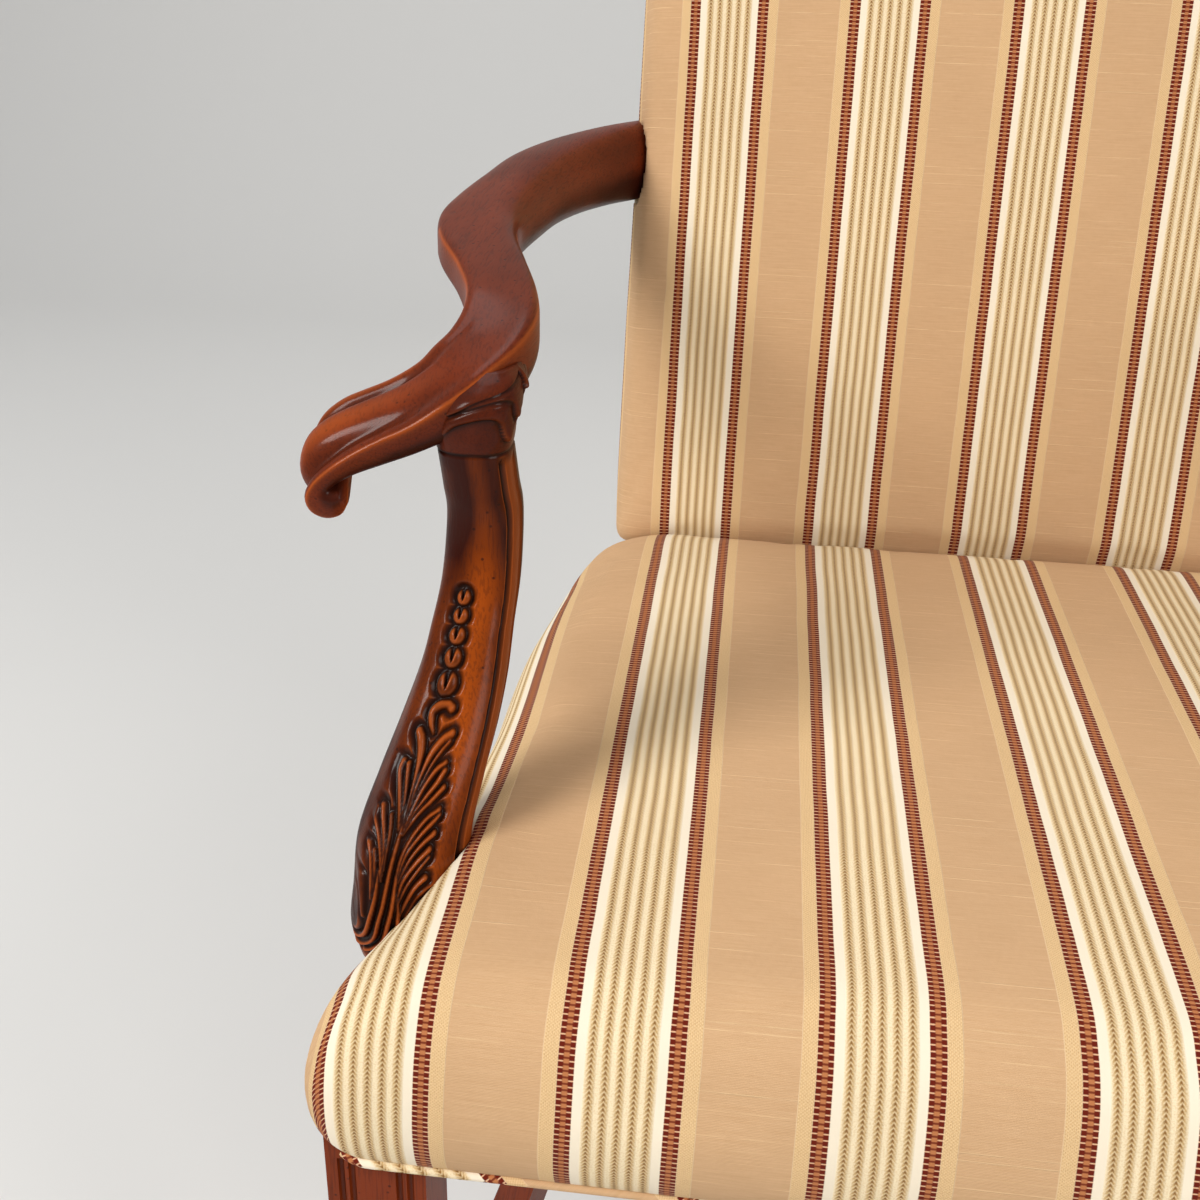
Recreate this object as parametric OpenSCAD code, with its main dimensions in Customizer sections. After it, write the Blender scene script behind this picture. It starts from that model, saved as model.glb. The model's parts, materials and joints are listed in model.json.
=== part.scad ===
// Open armchair with a carved mahogany frame and a striped, upholstered seat and back.
// The chair faces -Y and Z is up from the floor. Left and right are as seen when facing the chair,
// so the left pieces lie at -X. The origin is on the floor, below the middle of the width and depth.

/* [Seat] */
// Height of the seat's crown above the floor
seat_h = 470; // [430:1:500]
// Widest width of the covered seat, at its front
seat_front_w = 654; // [610:1:700]
// Widest width of the covered seat, at the crease with the back
seat_rear_w = 504; // [480:1:520]
// Depth of the covered seat, from its front to the crease
seat_depth = 495; // [460:1:530]
// Height of the covered seat, from the frame's lower edge to the crown
seat_drop = 89; // [84:1:110]
// How far the cover swells past the frame's outline
seat_bulge = 6; // [3:0.5:10]
// Rise of the crown in the middle of the seat
seat_crown = 4; // [2:0.5:12]
// Radius of the seat's plan at its front corners
seat_corner_r = 24; // [16:1:40]

/* [Back] */
// Height of the back's top above the floor
back_top_h = 1030; // [980:1:1060]
// Lean of the back from upright, in degrees
recline = 11.3; // [8:0.1:14]
// Thickness of the padding at the back's sides, beside the posts
back_side_t = 13.2; // [8:0.1:18]
// How much narrower the back is at its top, on each side
back_taper = 5; // [0:0.5:8]
// Rise of the arched top above its corners
back_arch = 26; // [10:1:40]
// Radius of the back's top corners
back_corner_r = 24; // [16:1:30]
// Depth of the padding in front of the posts
back_foam_t = 34; // [28:1:45]
// How far the back's padding hangs below the seat's crown
back_overhang = 25; // [20:1:28]
// Thickness of the outside back panel
panel_t = 3.5; // [3:0.5:6]

/* [Frame] */
// Height of the seat rails
rail_h = 52; // [48:1:60]
// Thickness of the seat rails
rail_t = 28; // [24:1:32]
// Width of the square front legs
leg_w = 42; // [38:1:48]
// Width of the rear posts, across the chair
post_w = 34; // [30:1:38]
// Depth of the rear posts, front to back
post_t = 34; // [32:1:38]
// How far the rear feet splay backwards
rear_splay = 42; // [20:1:60]
// Length of the rail tenons
tenon_l = 22; // [18:1:24]
// Thickness of the tenons
tenon_t = 10; // [8:1:12]
// Shoulder left above and below each tenon
tenon_shoulder = 7; // [5:1:9]
// Height of the crest rail
crest_h = 56; // [45:1:70]
// Height of the lower back rail
lower_rail_h = 48; // [40:1:60]
// Thickness of the two back rails
back_rail_t = 22; // [18:1:26]
// Length of each corner block along its rails
block_w = 34; // [28:1:40]

/* [Leg moulding] */
// Width of the bead along each edge of the leg
bead_w = 5; // [4:0.5:6]
// Width of the groove beside the bead
groove_w = 3; // [2:0.5:3.5]
// Depth of the grooves
groove_d = 2; // [1:0.25:3]
// Width of the thin fillet between the two grooves
fillet_w = 1.6; // [1:0.2:2.5]

/* [Stretchers] */
// Height of the stretchers' underside above the floor
stretcher_z = 128; // [100:1:170]
// Height of the stretchers
stretcher_h = 34; // [28:1:40]
// Thickness of the stretchers
stretcher_t = 20; // [16:1:24]

/* [Arms] */
// Height of the arm's middle where it meets the post, above the seat's crown
arm_rear_z = 217; // [200:1:235]
// Height of the joint between support and arm, above the seat's crown
joint_z = 160; // [145:1:168]
// Bow of the arm's elbow out from the straight line
arm_bow = 54; // [40:1:62]
// Distance from the seat's front back to the support's joint
support_setback = 176; // [160:1:195]
// Half the distance between the supports' joints
support_top_x = 282; // [274:1:290]
// How far the support sweeps forward between its joint and its foot
support_sweep = 70; // [60:1:84]
// Width of the support at its joint
support_top_w = 32; // [28:1:36]
// Width of the support's foot
foot_w = 52; // [46:1:56]
// Depth of the support, front to back
foot_d = 35; // [30:1:38]
// How far the foot stands out past the side rail
foot_proud = 24.5; // [18:0.5:27]
// Angle of the hand-hold, out from straight ahead
hand_angle = 80; // [66:1:86]
// Reach of the hand-hold past the support
hand_reach = 70; // [62:1:76]
// How far the hand-hold is rolled, with its front edge down, in degrees
hand_roll = 19; // [0:1:24]
// Diameter of the dowels in the arm joints
dowel_d = 12; // [10:1:14]
// Length of those dowels
dowel_l = 44; // [36:1:50]

/* [Upholstery] */
// Thickness of the cover with its wadding
cover_t = 4; // [3:0.5:5]
// Thickness of the webbing
web_t = 1.5; // [1:0.25:2]
// Width of the webbing
web_w = 50; // [40:1:60]
// Thickness of the deck cloth
deck_t = 1; // [0.8:0.1:2]
// Diameter of the welt cord
welt_d = 4.6; // [3:0.2:6]
// Thickness of the dust cover
dust_t = 1; // [0.8:0.1:2]
// Number of webbing straps that run front to back
web_count_long = 4; // [3:1:5]
// Number of webbing straps that run across the seat
web_count_cross = 3; // [2:1:4]
// Number of webbing straps across the back
web_count_back = 4; // [3:1:5]

/* [Fasteners] */
// Diameter of the wood screws
screw_d = 5; // [4:0.5:6]
// Diameter of their countersunk heads
head_d = 9.5; // [8:0.5:11]
// Diameter of the glides
glide_d = 20; // [16:1:24]
// Thickness of the glides
glide_t = 4; // [3:0.5:6]
// Diameter of the glides' nails
nail_d = 3; // [2:0.5:4]
// Length of the glides' nails
nail_l = 16; // [12:1:20]

/* [Hidden] */

fit = 0.3;        // gap between soft parts and what they cover
joint_fit = 0.15; // gap on each cheek of a tenon
screw_fit = 0.1;  // gap round screws, nails and dowels
far = 400;        // long enough to cut right through a neighbour

// Heights of the seat frame.
rail_z = seat_h - seat_drop;
rail_top = rail_z + rail_h;
deck_z = rail_top + 2 * web_t;
foam_z = deck_z + deck_t;

// The back has its own frame: u goes up the slope from the crease, n backwards from the front face.
u_corner = (back_top_h - seat_h) / cos(recline) - back_arch;
u_bottom = -back_overhang / cos(recline);
post_rear_n = back_foam_t + post_t;
function back_y(n, u) = crease_y + n * cos(recline) + u * sin(recline);
function back_z(n, u) = seat_h - n * sin(recline) + u * cos(recline);

// The chair's depth runs from the swell of the seat's front to the back's upper rear edge.
overall_d = seat_depth + (u_corner + back_arch) * sin(recline) + (post_rear_n + welt_d) * cos(recline);
front_y = -overall_d / 2;
crease_y = front_y + seat_depth;

// Plan of the seat: a trapezoid that narrows towards the back.
plan_front_y = front_y + seat_bulge;
half_front = seat_front_w / 2 - seat_bulge;
half_rear = seat_rear_w / 2 - seat_bulge;
side_slope = (half_front - half_rear) / (crease_y - plan_front_y);
side_angle = atan(side_slope);
function cover_x(y) = half_front - (y - plan_front_y) * side_slope;
function frame_x(y) = cover_x(y) - cover_t - fit;
rail_dx = rail_t / cos(side_angle); // the side rails' thickness, measured along X
function side_in(y) = frame_x(y) - rail_dx;
frame_front_y = plan_front_y + cover_t + fit;
leg_back_y = frame_front_y + leg_w;
leg_in_x = frame_x(frame_front_y) - leg_w;
leg_mid_x = frame_x(frame_front_y) - leg_w / 2;
leg_mid_y = frame_front_y + leg_w / 2;

// The rear posts stand upright beside the rails, lean back above them and splay below them.
post_y = back_y(back_foam_t, 0) + back_foam_t * sin(recline) * tan(recline) - (seat_h - rail_top) * tan(recline);
post_dy = post_t / cos(recline);
post_rear_y = post_y + post_dy;
post_x = frame_x(post_y);
post_in_x = post_x - post_w;
post_top_u = u_corner - back_corner_r * 0.7 - cover_t;
function post_front(z) = post_y + rear_splay * pow(max(0, rail_z - z) / rail_z, 1.7);

// Half-widths of the covered back at the seat and at its top corners.
back_half = post_x + fit + back_side_t;
back_top_half = back_half - back_taper;

// Arms and their supports.
arm_rear_y = back_y(back_foam_t + post_t * 0.35, 0) + arm_rear_z * tan(recline);
arm_end_w = 34;
arm_end_t = 46;
support_y = front_y + support_setback;
arm_joint_z = seat_h + joint_z;
foot_y = support_y - support_sweep;
support_h = arm_joint_z - rail_top;
foot_x = frame_x(foot_y) + foot_proud - foot_w / 2;
support_tenon = [12, 24, 28];
section_sides = 16;

// ---------- helpers ----------

module mirrored_if(flip) {
    if (flip) mirror([1, 0, 0]) children();
    else children();
}

// Puts children drawn as (X, n, u) into the leaning frame of the back.
module in_back() translate([0, crease_y, seat_h]) rotate([-recline, 0, 0]) children();

// Extrudes children drawn as (X, u) from n0 backwards to n1.
module back_slab(n0, n1) in_back() translate([0, n1, 0]) rotate([90, 0, 0])
    linear_extrude(height = n1 - n0) children();

// Frame of the left side rail at y: x goes inwards from its outer face, y along it.
module at_left_rail(y) translate([-frame_x(y), y, 0]) rotate([0, 0, -side_angle]) children();

// Smooth curve from b to c, with neighbours a and d.
function curve_point(a, b, c, d, t) =
    0.5 * (2 * b + (c - a) * t + (2 * a - 5 * b + 4 * c - d) * t * t + (3 * b - a - 3 * c + d) * t * t * t);

// Smooth curve through all stations, with the given number of steps between two of them.
function smooth(s, steps) = let (last = len(s) - 1) [
    for (i = [0:last - 1], k = [0:steps - 1]) curve_point(
        i > 0 ? s[i - 1] : 2 * s[0] - s[1], s[i], s[i + 1],
        i < last - 1 ? s[i + 2] : 2 * s[last] - s[last - 1], k / steps),
    s[last]];

function unit(v) = v / norm(v);
function signed_power(v, e) = sign(v) * pow(abs(v), e);

// Rounded-square outline of width w and height h; a higher squareness fills its corners more.
function rounded_square(w, h, squareness) = [for (k = [0:section_sides - 1]) let (a = 360 * k / section_sides)
    [signed_power(cos(a), 2 / squareness) * w / 2, signed_power(sin(a), 2 / squareness) * h / 2]];

function middle(ring) = [for (p = ring) 1] * ring / len(ring);

// Closed skin over a list of rings with equal numbers of points, capped at both ends.
module skin(rings) {
    n = len(rings[0]);
    m = len(rings);
    sides = [for (i = [0:m - 2], k = [0:n - 1]) let (a = i * n + k, b = i * n + (k + 1) % n)
        each [[a, a + n, b], [b, a + n, b + n]]];
    caps = [for (k = [0:n - 1]) let (top = (m - 1) * n, next = (k + 1) % n)
        each [[m * n, k, next], [m * n + 1, top + next, top + k]]];
    polyhedron(points = concat([for (r = rings) each r], [middle(rings[0]), middle(rings[m - 1])]),
        faces = concat(sides, caps), convexity = 8);
}

// Round cord along a path that lies in a level plane.
module cord(path, d, sides = 8) {
    last = len(path) - 1;
    skin([for (i = [0:last]) let (
        t = unit(path[min(i + 1, last)] - path[max(i - 1, 0)]),
        across = [t[1], -t[0], 0])
        [for (k = [0:sides - 1]) path[i] + across * cos(360 * k / sides) * d / 2 + [0, 0, sin(360 * k / sides) * d / 2]]]);
}

// Wood screw with a sunk head, from the origin along +X. With room > 0 it is the hole for that screw,
// with a clear way in behind the head.
module screw(length, room) rotate([0, 90, 0]) rotate_extrude($fn = 32) polygon(concat(
    room > 0 ? [[0, -8], [head_d / 2 + room, -8]] : [[0, 0]],
    [[head_d / 2 + room, 0], [screw_d / 2 + room, 3 + room], [screw_d / 2 + room, length + room], [0, length + room]]));

// ---------- cushion forms ----------

corner_steps = 5;
edge_steps = 6;

// Outline of a cushion: a trapezoid from half-width a at y0 to half-width b at y1, with corners of
// radius r0 and r1, and an arch added to its y1 edge. It runs anticlockwise from the y0 edge.
function outline(a, b, y0, y1, r0, r1, arch) = let (
    half = function (y) a + (b - a) * (y - y0) / (y1 - y0),
    corner = function (cx, cy, r, from) [for (k = [0:corner_steps]) let (t = from + 90 * k / corner_steps)
        [cx + r * cos(t), cy + r * sin(t)]],
    edge = function (p, q) [for (k = [1:edge_steps - 1]) p + (q - p) * k / edge_steps],
    c1 = corner(half(y0 + r0) - r0, y0 + r0, r0, -90),
    c2 = corner(half(y1 - r1) - r1, y1 - r1, r1, 0),
    c3 = corner(r1 - half(y1 - r1), y1 - r1, r1, 90),
    c4 = corner(r0 - half(y0 + r0), y0 + r0, r0, 180),
    last = corner_steps,
    all = concat(c1, edge(c1[last], c2[0]), c2, edge(c2[last], c3[0]), c3, edge(c3[last], c4[0]), c4,
        edge(c4[last], c1[0])))
    [for (p = all) let (share = max(0, min(1, (p[1] - y1 + r1) / r1)))
        [p[0], p[1] + arch * share * (1 - pow(min(1, abs(p[0]) / half(p[1])), 2))]];

function lifted(points, z) = [for (p = points) [p[0], p[1], z]];
function shrunk(points, k, centre) = [for (p = points) [centre[0] + (p[0] - centre[0]) * k, centre[1] + (p[1] - centre[1]) * k]];

// Rings that close a rolled edge over a crown of the given rise.
function crown_rings(rim, centre, z, rise) = [for (k = [0.8, 0.55, 0.28]) lifted(shrunk(rim, k, centre), z + rise * (1 - k * k))];

// ---------- seat upholstery ----------

// The covered wall: [how far it swells, as a share of the bulge, height as a share of the drop].
seat_wall = [[0.72, 0.22], [1, 0.48], [0.85, 0.66]];
// The rolled edge above it: [how far it has come in, as a share of the roll, height share].
seat_roll = [[0.02, 0.86], [0.2, 0.935], [0.5, 0.982], [1, 1]];
roll_in = 24;
seat_back_r = 4;
seat_side_h = seat_drop - seat_crown;

// The seat's rear edge stays clear of the back; beside the rails it runs on to the posts.
function seat_rear(z) = z < rail_top - 1 ? post_y - fit : crease_y - fit + (z - seat_h) * tan(recline);
function seat_outline(inset, z) = let (y0 = plan_front_y + inset, y1 = seat_rear(z))
    outline(cover_x(y0) - inset, cover_x(y1) - inset, y0, y1, seat_corner_r, seat_back_r, 0);

// Rings from height z0 to the crown, t inside the cover's outer face.
function seat_rings(z0, t) = let (
    rolled = [for (l = seat_roll) lifted(seat_outline(l[0] * roll_in + t, rail_z + l[1] * seat_side_h), rail_z + l[1] * seat_side_h - t * l[1])],
    walls = [for (l = seat_wall) let (z = rail_z + l[1] * seat_side_h) if (z > z0 + 2) lifted(seat_outline(t - l[0] * seat_bulge, z), z)])
    concat([lifted(seat_outline(t, z0), z0)], walls, rolled,
        crown_rings(rolled[len(rolled) - 1], [0, front_y + seat_depth / 2], seat_h - seat_crown - t, seat_crown));

// Room for the supports' feet, open upwards and to the sides.
module foot_pockets(z0) for (sx = [-1, 1])
    translate([sx * (foot_x + foot_w / 4), foot_y, z0 + far / 2])
        cube([foot_w * 1.5 + 2, foot_d + 2, far], center = true);

module frame_plan(y0, y1, inset) polygon([
    [inset - frame_x(y0), y0], [frame_x(y0) - inset, y0],
    [frame_x(y1) - inset, y1], [inset - frame_x(y1), y1]]);

module seat_foam() color("khaki") difference() {
    skin(seat_rings(foam_z, cover_t + fit));
    foot_pockets(rail_top);
}

module seat_cover() color("tan") difference() {
    skin(seat_rings(rail_z + welt_d, 0));
    // room for the frame, running out past the rear edge
    translate([0, 0, rail_z - 1]) linear_extrude(height = foam_z - rail_z + 1)
        frame_plan(frame_front_y - fit, post_rear_y + far, -fit);
    skin(seat_rings(foam_z - 0.5, cover_t));
    foot_pockets(rail_top);
}

// Path of the welt along the frame's lower edge, from post to post round the front.
welt_out = welt_d / 2 + fit / 2;
function welt_path() = let (
    r = seat_corner_r - cover_t,
    y0 = frame_front_y - welt_out,
    cx = frame_x(y0 + r) + welt_out - r,
    side = [for (k = [0:6]) let (y = post_y + (y0 + r - post_y) * k / 7) [-(frame_x(y) + welt_out), y, 0]],
    arc = [for (k = [0:6]) let (a = 180 + 90 * k / 6) [r * cos(a) - cx, y0 + r + r * sin(a), 0]],
    half = concat(side, arc))
    concat(half, [for (i = [len(half) - 1:-1:0]) [-half[i][0], half[i][1], 0]]);

module seat_welt() color("tan") translate([0, 0, rail_z + welt_d / 2]) cord(welt_path(), welt_d);

module seat_deck_cloth() color("burlywood") difference() {
    translate([0, 0, deck_z]) linear_extrude(height = deck_t) frame_plan(frame_front_y, post_y - fit, 2);
    foot_pockets(rail_top);
}

module seat_webbing_lengthwise() color("sienna") {
    span = 2 * side_in(post_y) - web_w;
    for (i = [0:web_count_long - 1])
        translate([span * (i / (web_count_long - 1) - 0.5) - web_w / 2, frame_front_y + 4, rail_top])
            cube([web_w, post_rear_y - frame_front_y - 8, web_t]);
}

module seat_webbing_crosswise() color("sienna") difference() {
    room = post_y - leg_back_y - web_w - 30;
    for (i = [0:web_count_cross - 1])
        translate([0, 0, rail_top + web_t]) linear_extrude(height = web_t)
            let (y = leg_back_y + 15 + room * i / (web_count_cross - 1)) frame_plan(y, y + web_w, 2);
    foot_pockets(rail_top);
}

module dust_cover() color("dimgray") translate([0, 0, rail_z - dust_t]) linear_extrude(height = dust_t) difference() {
    frame_plan(frame_front_y + 6, post_rear_y - 6, 6);
    for (sx = [-1, 1]) {
        translate([sx * (leg_in_x + leg_w), frame_front_y]) square(2 * leg_w + 2, center = true);
        translate([sx * post_x, post_rear_y]) square([2 * post_w + 2, 2 * post_dy + 2], center = true);
    }
}

// ---------- legs and posts ----------

tenon_h = rail_h - 2 * tenon_shoulder;
front_tenon_in = 8;  // from the front face of the frame to the front rail's tenons
rear_tenon_in = 5;   // from the rear face of the frame to the rear rail's tenons
tenon_gap = 2;       // wood left between two tenons that meet in a leg or post
leg_side_tenon_l = leg_w - front_tenon_in - tenon_t - tenon_gap - (rail_t + tenon_t) / 2 * sin(side_angle);
post_side_tenon_l = post_dy - rear_tenon_in - tenon_t - tenon_gap;
stretcher_tenon = [10, 16, stretcher_h - 8];

// Bead-and-groove moulding in the face y = 0, cut towards +Y, from the floor to the seat.
module moulding() for (side = [-1, 1], k = [0, 1])
    translate([side * (leg_w / 2 - bead_w - groove_w / 2 - k * (groove_w + fillet_w)), 0, -1]) {
        translate([0, groove_d - groove_w / 2, 0]) cylinder(d = groove_w, h = rail_z + 1, $fn = 24);
        translate([-groove_w / 2, -1, 0]) cube([groove_w, 1 + groove_d - groove_w / 2, rail_z + 1]);
    }

module nail_hole(x, y) translate([x, y, 0]) cylinder(d = nail_d + 2 * screw_fit, h = glide_t + nail_l + 1, $fn = 24);

module front_leg(flip) mirrored_if(flip) color("saddlebrown") difference() {
    translate([0, 0, glide_t]) linear_extrude(height = rail_top - glide_t) polygon([
        [-frame_x(frame_front_y), frame_front_y], [-frame_x(leg_back_y), leg_back_y],
        [-leg_in_x - 6, leg_back_y], [-leg_in_x, leg_back_y - 6], [-leg_in_x, frame_front_y]]);
    translate([-leg_mid_x, frame_front_y, 0]) moulding();
    at_left_rail(leg_mid_y) rotate([0, 0, -90]) moulding();
    front_rail_tenon(joint_fit);
    side_rail_tenon(leg_back_y, -leg_side_tenon_l, joint_fit);
    side_stretcher_tenon(leg_back_y, -stretcher_tenon[1], joint_fit);
    nail_hole(-leg_mid_x, leg_mid_y);
    front_block_screw(screw_fit);
}

foot_steps = 8;
post_profile = concat(
    [for (k = [0:foot_steps]) let (z = glide_t + (rail_z - glide_t) * k / foot_steps) [post_front(z), z]],
    [[post_y, rail_top], [back_y(back_foam_t, post_top_u), back_z(back_foam_t, post_top_u)],
     [back_y(post_rear_n, post_top_u), back_z(post_rear_n, post_top_u)], [post_rear_y, rail_top]],
    [for (k = [foot_steps:-1:0]) let (z = glide_t + (rail_z - glide_t) * k / foot_steps) [post_front(z) + post_dy, z]]);

// The left post's blank, made wider by extra on both sides.
module post_blank(extra = 0) translate([-post_x - extra, 0, 0]) rotate([90, 0, 90])
    linear_extrude(height = post_w + 2 * extra) polygon(post_profile);

module rear_post(flip) mirrored_if(flip) color("saddlebrown") difference() {
    post_blank();
    side_rail_tenon(post_y, post_side_tenon_l, joint_fit);
    rear_rail_tenon(joint_fit);
    side_stretcher_tenon(post_front(stretcher_z + stretcher_h / 2), stretcher_tenon[1], joint_fit);
    crest_tenon(joint_fit);
    lower_back_tenon(joint_fit);
    nail_hole(post_w / 2 - post_x, post_front(0) + post_dy / 2);
    left_arm_screws(screw_fit);
    rear_block_screw(screw_fit);
}

// ---------- seat rails ----------

module front_rail_tenon(room) translate([-leg_in_x - tenon_l - room, frame_front_y + front_tenon_in - room, rail_z + tenon_shoulder - room])
    cube([tenon_l + 8, tenon_t + 2 * room, tenon_h + 2 * room]);

module front_rail() color("peru") {
    translate([-leg_in_x, frame_front_y, rail_z]) cube([2 * leg_in_x, rail_t, rail_h]);
    for (flip = [false, true]) mirrored_if(flip) front_rail_tenon(0);
}

module rear_rail_tenon(room) translate([-post_in_x - tenon_l - room, post_rear_y - rear_tenon_in - tenon_t - room, rail_z + tenon_shoulder - room])
    cube([tenon_l + 8, tenon_t + 2 * room, tenon_h + 2 * room]);

module rear_rail() color("peru") {
    translate([-post_in_x, post_rear_y - rail_t, rail_z]) cube([2 * post_in_x, rail_t, rail_h]);
    for (flip = [false, true]) mirrored_if(flip) rear_rail_tenon(0);
}

// Tenon on the end of a left side rail at y; a negative reach points to the front.
module side_rail_tenon(y, reach, room) at_left_rail(y)
    translate([rail_t / 2, (reach - sign(reach) * 8) / 2, rail_z + rail_h / 2])
        cube([tenon_t + 2 * room, abs(reach) + 8 + 2 * room, tenon_h + 2 * room], center = true);

module side_rail(flip) mirrored_if(flip) color("peru") difference() {
    union() {
        translate([0, 0, rail_z]) linear_extrude(height = rail_h) polygon([
            [-frame_x(leg_back_y), leg_back_y], [-frame_x(post_y), post_y],
            [-side_in(post_y), post_y], [-side_in(leg_back_y), leg_back_y]]);
        side_rail_tenon(leg_back_y, -leg_side_tenon_l, 0);
        side_rail_tenon(post_y, post_side_tenon_l, 0);
    }
    support_tenon_block(joint_fit);
    left_support_screws(screw_fit);
}

// ---------- corner blocks ----------

block_gap = 14; // how far a block stands from the leg's corner, along each rail
rear_gap = 10;
front_block = [
    [-(leg_in_x - block_gap), frame_front_y + rail_t],
    [-(leg_in_x - block_gap - block_w), frame_front_y + rail_t],
    [-side_in(leg_back_y + block_gap + block_w), leg_back_y + block_gap + block_w],
    [-side_in(leg_back_y + block_gap), leg_back_y + block_gap]];
rear_block = [
    [-(post_in_x - rear_gap), post_rear_y - rail_t],
    [-(post_in_x - rear_gap - block_w), post_rear_y - rail_t],
    [-side_in(post_y - rear_gap - block_w), post_y - rear_gap - block_w],
    [-side_in(post_y - rear_gap), post_y - rear_gap]];

// Screw from the middle of a block's inner face towards the point to.
module block_screw(block, to, room) {
    from = (block[1] + block[2]) / 2;
    way = to - from;
    translate([from[0], from[1], rail_z + rail_h / 2]) rotate([0, 0, atan2(way[1], way[0])])
        translate([2, 0, 0]) screw(norm(way) - 2, room);
}
module front_block_screw(room) block_screw(front_block, [-leg_in_x - 12, leg_back_y - 12], room);
module rear_block_screw(room) block_screw(rear_block, [-post_in_x - 9, post_y + 9], room);

module corner_block(block) translate([0, 0, rail_z + 6]) linear_extrude(height = rail_h - 12) polygon(block);

module front_corner_block(flip) mirrored_if(flip) color("peru") difference() {
    corner_block(front_block);
    front_block_screw(screw_fit);
}

module rear_corner_block(flip) mirrored_if(flip) color("peru") difference() {
    corner_block(rear_block);
    rear_block_screw(screw_fit);
}

module corner_block_screws() color("goldenrod") for (flip = [false, true]) mirrored_if(flip) {
    front_block_screw(0);
    rear_block_screw(0);
}

// ---------- stretchers ----------

stretcher_in = (leg_w - stretcher_t) / 2 / cos(side_angle);
function stretcher_x(y) = frame_x(y) - stretcher_in - stretcher_t / cos(side_angle);

module side_stretcher_tenon(y, reach, room) at_left_rail(y)
    translate([leg_w / 2, (reach - sign(reach) * 8) / 2, stretcher_z + stretcher_h / 2])
        cube([stretcher_tenon[0] + 2 * room, abs(reach) + 8 + 2 * room, stretcher_tenon[2] + 2 * room], center = true);

module side_stretcher(flip) mirrored_if(flip) color("saddlebrown") difference() {
    union() {
        difference() {
            translate([0, 0, stretcher_z]) linear_extrude(height = stretcher_h) polygon([
                [stretcher_in - frame_x(leg_back_y), leg_back_y], [stretcher_in - frame_x(post_rear_y), post_rear_y],
                [-stretcher_x(post_rear_y), post_rear_y], [-stretcher_x(leg_back_y), leg_back_y]]);
            post_blank(leg_w);
            translate([-far, post_front(stretcher_z) + post_dy / 2, 0]) cube(far);
        }
        side_stretcher_tenon(leg_back_y, -stretcher_tenon[1], 0);
        side_stretcher_tenon(post_front(stretcher_z + stretcher_h / 2), stretcher_tenon[1], 0);
    }
    cross_stretcher_tenon(joint_fit);
}

cross_y = (leg_back_y + post_y) / 2;
module cross_stretcher_tenon(room) translate([-stretcher_x(cross_y) - 9 - room, cross_y - 5 - room, stretcher_z + 4 - room])
    cube([9 + 12, 10 + 2 * room, stretcher_h - 8 + 2 * room]);

module cross_stretcher() color("saddlebrown") {
    y0 = cross_y - stretcher_t / 2;
    y1 = cross_y + stretcher_t / 2;
    translate([0, 0, stretcher_z]) linear_extrude(height = stretcher_h) polygon([
        [-stretcher_x(y0), y0], [stretcher_x(y0), y0], [stretcher_x(y1), y1], [-stretcher_x(y1), y1]]);
    for (flip = [false, true]) mirrored_if(flip) cross_stretcher_tenon(0);
}

// ---------- back frame ----------

back_rail_n = back_foam_t + (post_t - back_rail_t) / 2;
crest_u = u_corner - cover_t - crest_h;
lower_rail_u = u_bottom + cover_t + 8;

// The crest rail's top edge follows the arch, cover_t and a little wadding below it.
function crest_top(x) = u_corner - cover_t - 3 + back_arch * (1 - pow(x / back_top_half, 2));

module back_tenon(u, h, room) in_back() translate([-post_in_x - tenon_l + 2 - room, back_rail_n + (back_rail_t - tenon_t) / 2 - room, u + 8 - room])
    cube([tenon_l + 6, tenon_t + 2 * room, h - 16 + 2 * room]);
module crest_tenon(room) back_tenon(crest_u, min(crest_h, post_top_u - crest_u + 4), room);
module lower_back_tenon(room) back_tenon(lower_rail_u, lower_rail_h, room);

module crest_rail() color("peru") {
    back_slab(back_rail_n, back_rail_n + back_rail_t) polygon(concat(
        [[-post_in_x, crest_u], [post_in_x, crest_u]],
        [for (k = [0:12]) let (x = post_in_x * (1 - k / 6)) [x, crest_top(x)]]));
    for (flip = [false, true]) mirrored_if(flip) crest_tenon(0);
}

module lower_back_rail() color("peru") {
    back_slab(back_rail_n, back_rail_n + back_rail_t)
        translate([-post_in_x, lower_rail_u]) square([2 * post_in_x, lower_rail_h]);
    for (flip = [false, true]) mirrored_if(flip) lower_back_tenon(0);
}

// ---------- arms ----------

hand_centre = [-(support_top_x + 6), support_y + 9];
hand_way = [-sin(hand_angle), -cos(hand_angle)];

// The arm from the post to the support: [share of the way, share of the bow, height above the crown,
// width, thickness, heading out from straight ahead, share of the roll].
arm_run = [
    [0.035, 0.13, 0, 35, 46, 58, 0], [0.1, 0.42, 1.5, 37, 46, 34, 0], [0.217, 0.77, 2, 42, 45, 22, 0],
    [0.319, 0.93, 1, 43, 43, 13, 0], [0.432, 0.98, -2, 43, 41, 7, 0], [0.534, 0.96, -6, 43, 38, -2, 0],
    [0.628, 0.84, -9, 41, 34, -14, 0], [0.727, 0.5, -14, 37, 33, -22, 0.05], [0.83, 0.16, -19, 35, 34, -12, 0.2],
    [0.905, 0.06, -25, 39, 35, 16, 0.4]];
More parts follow.
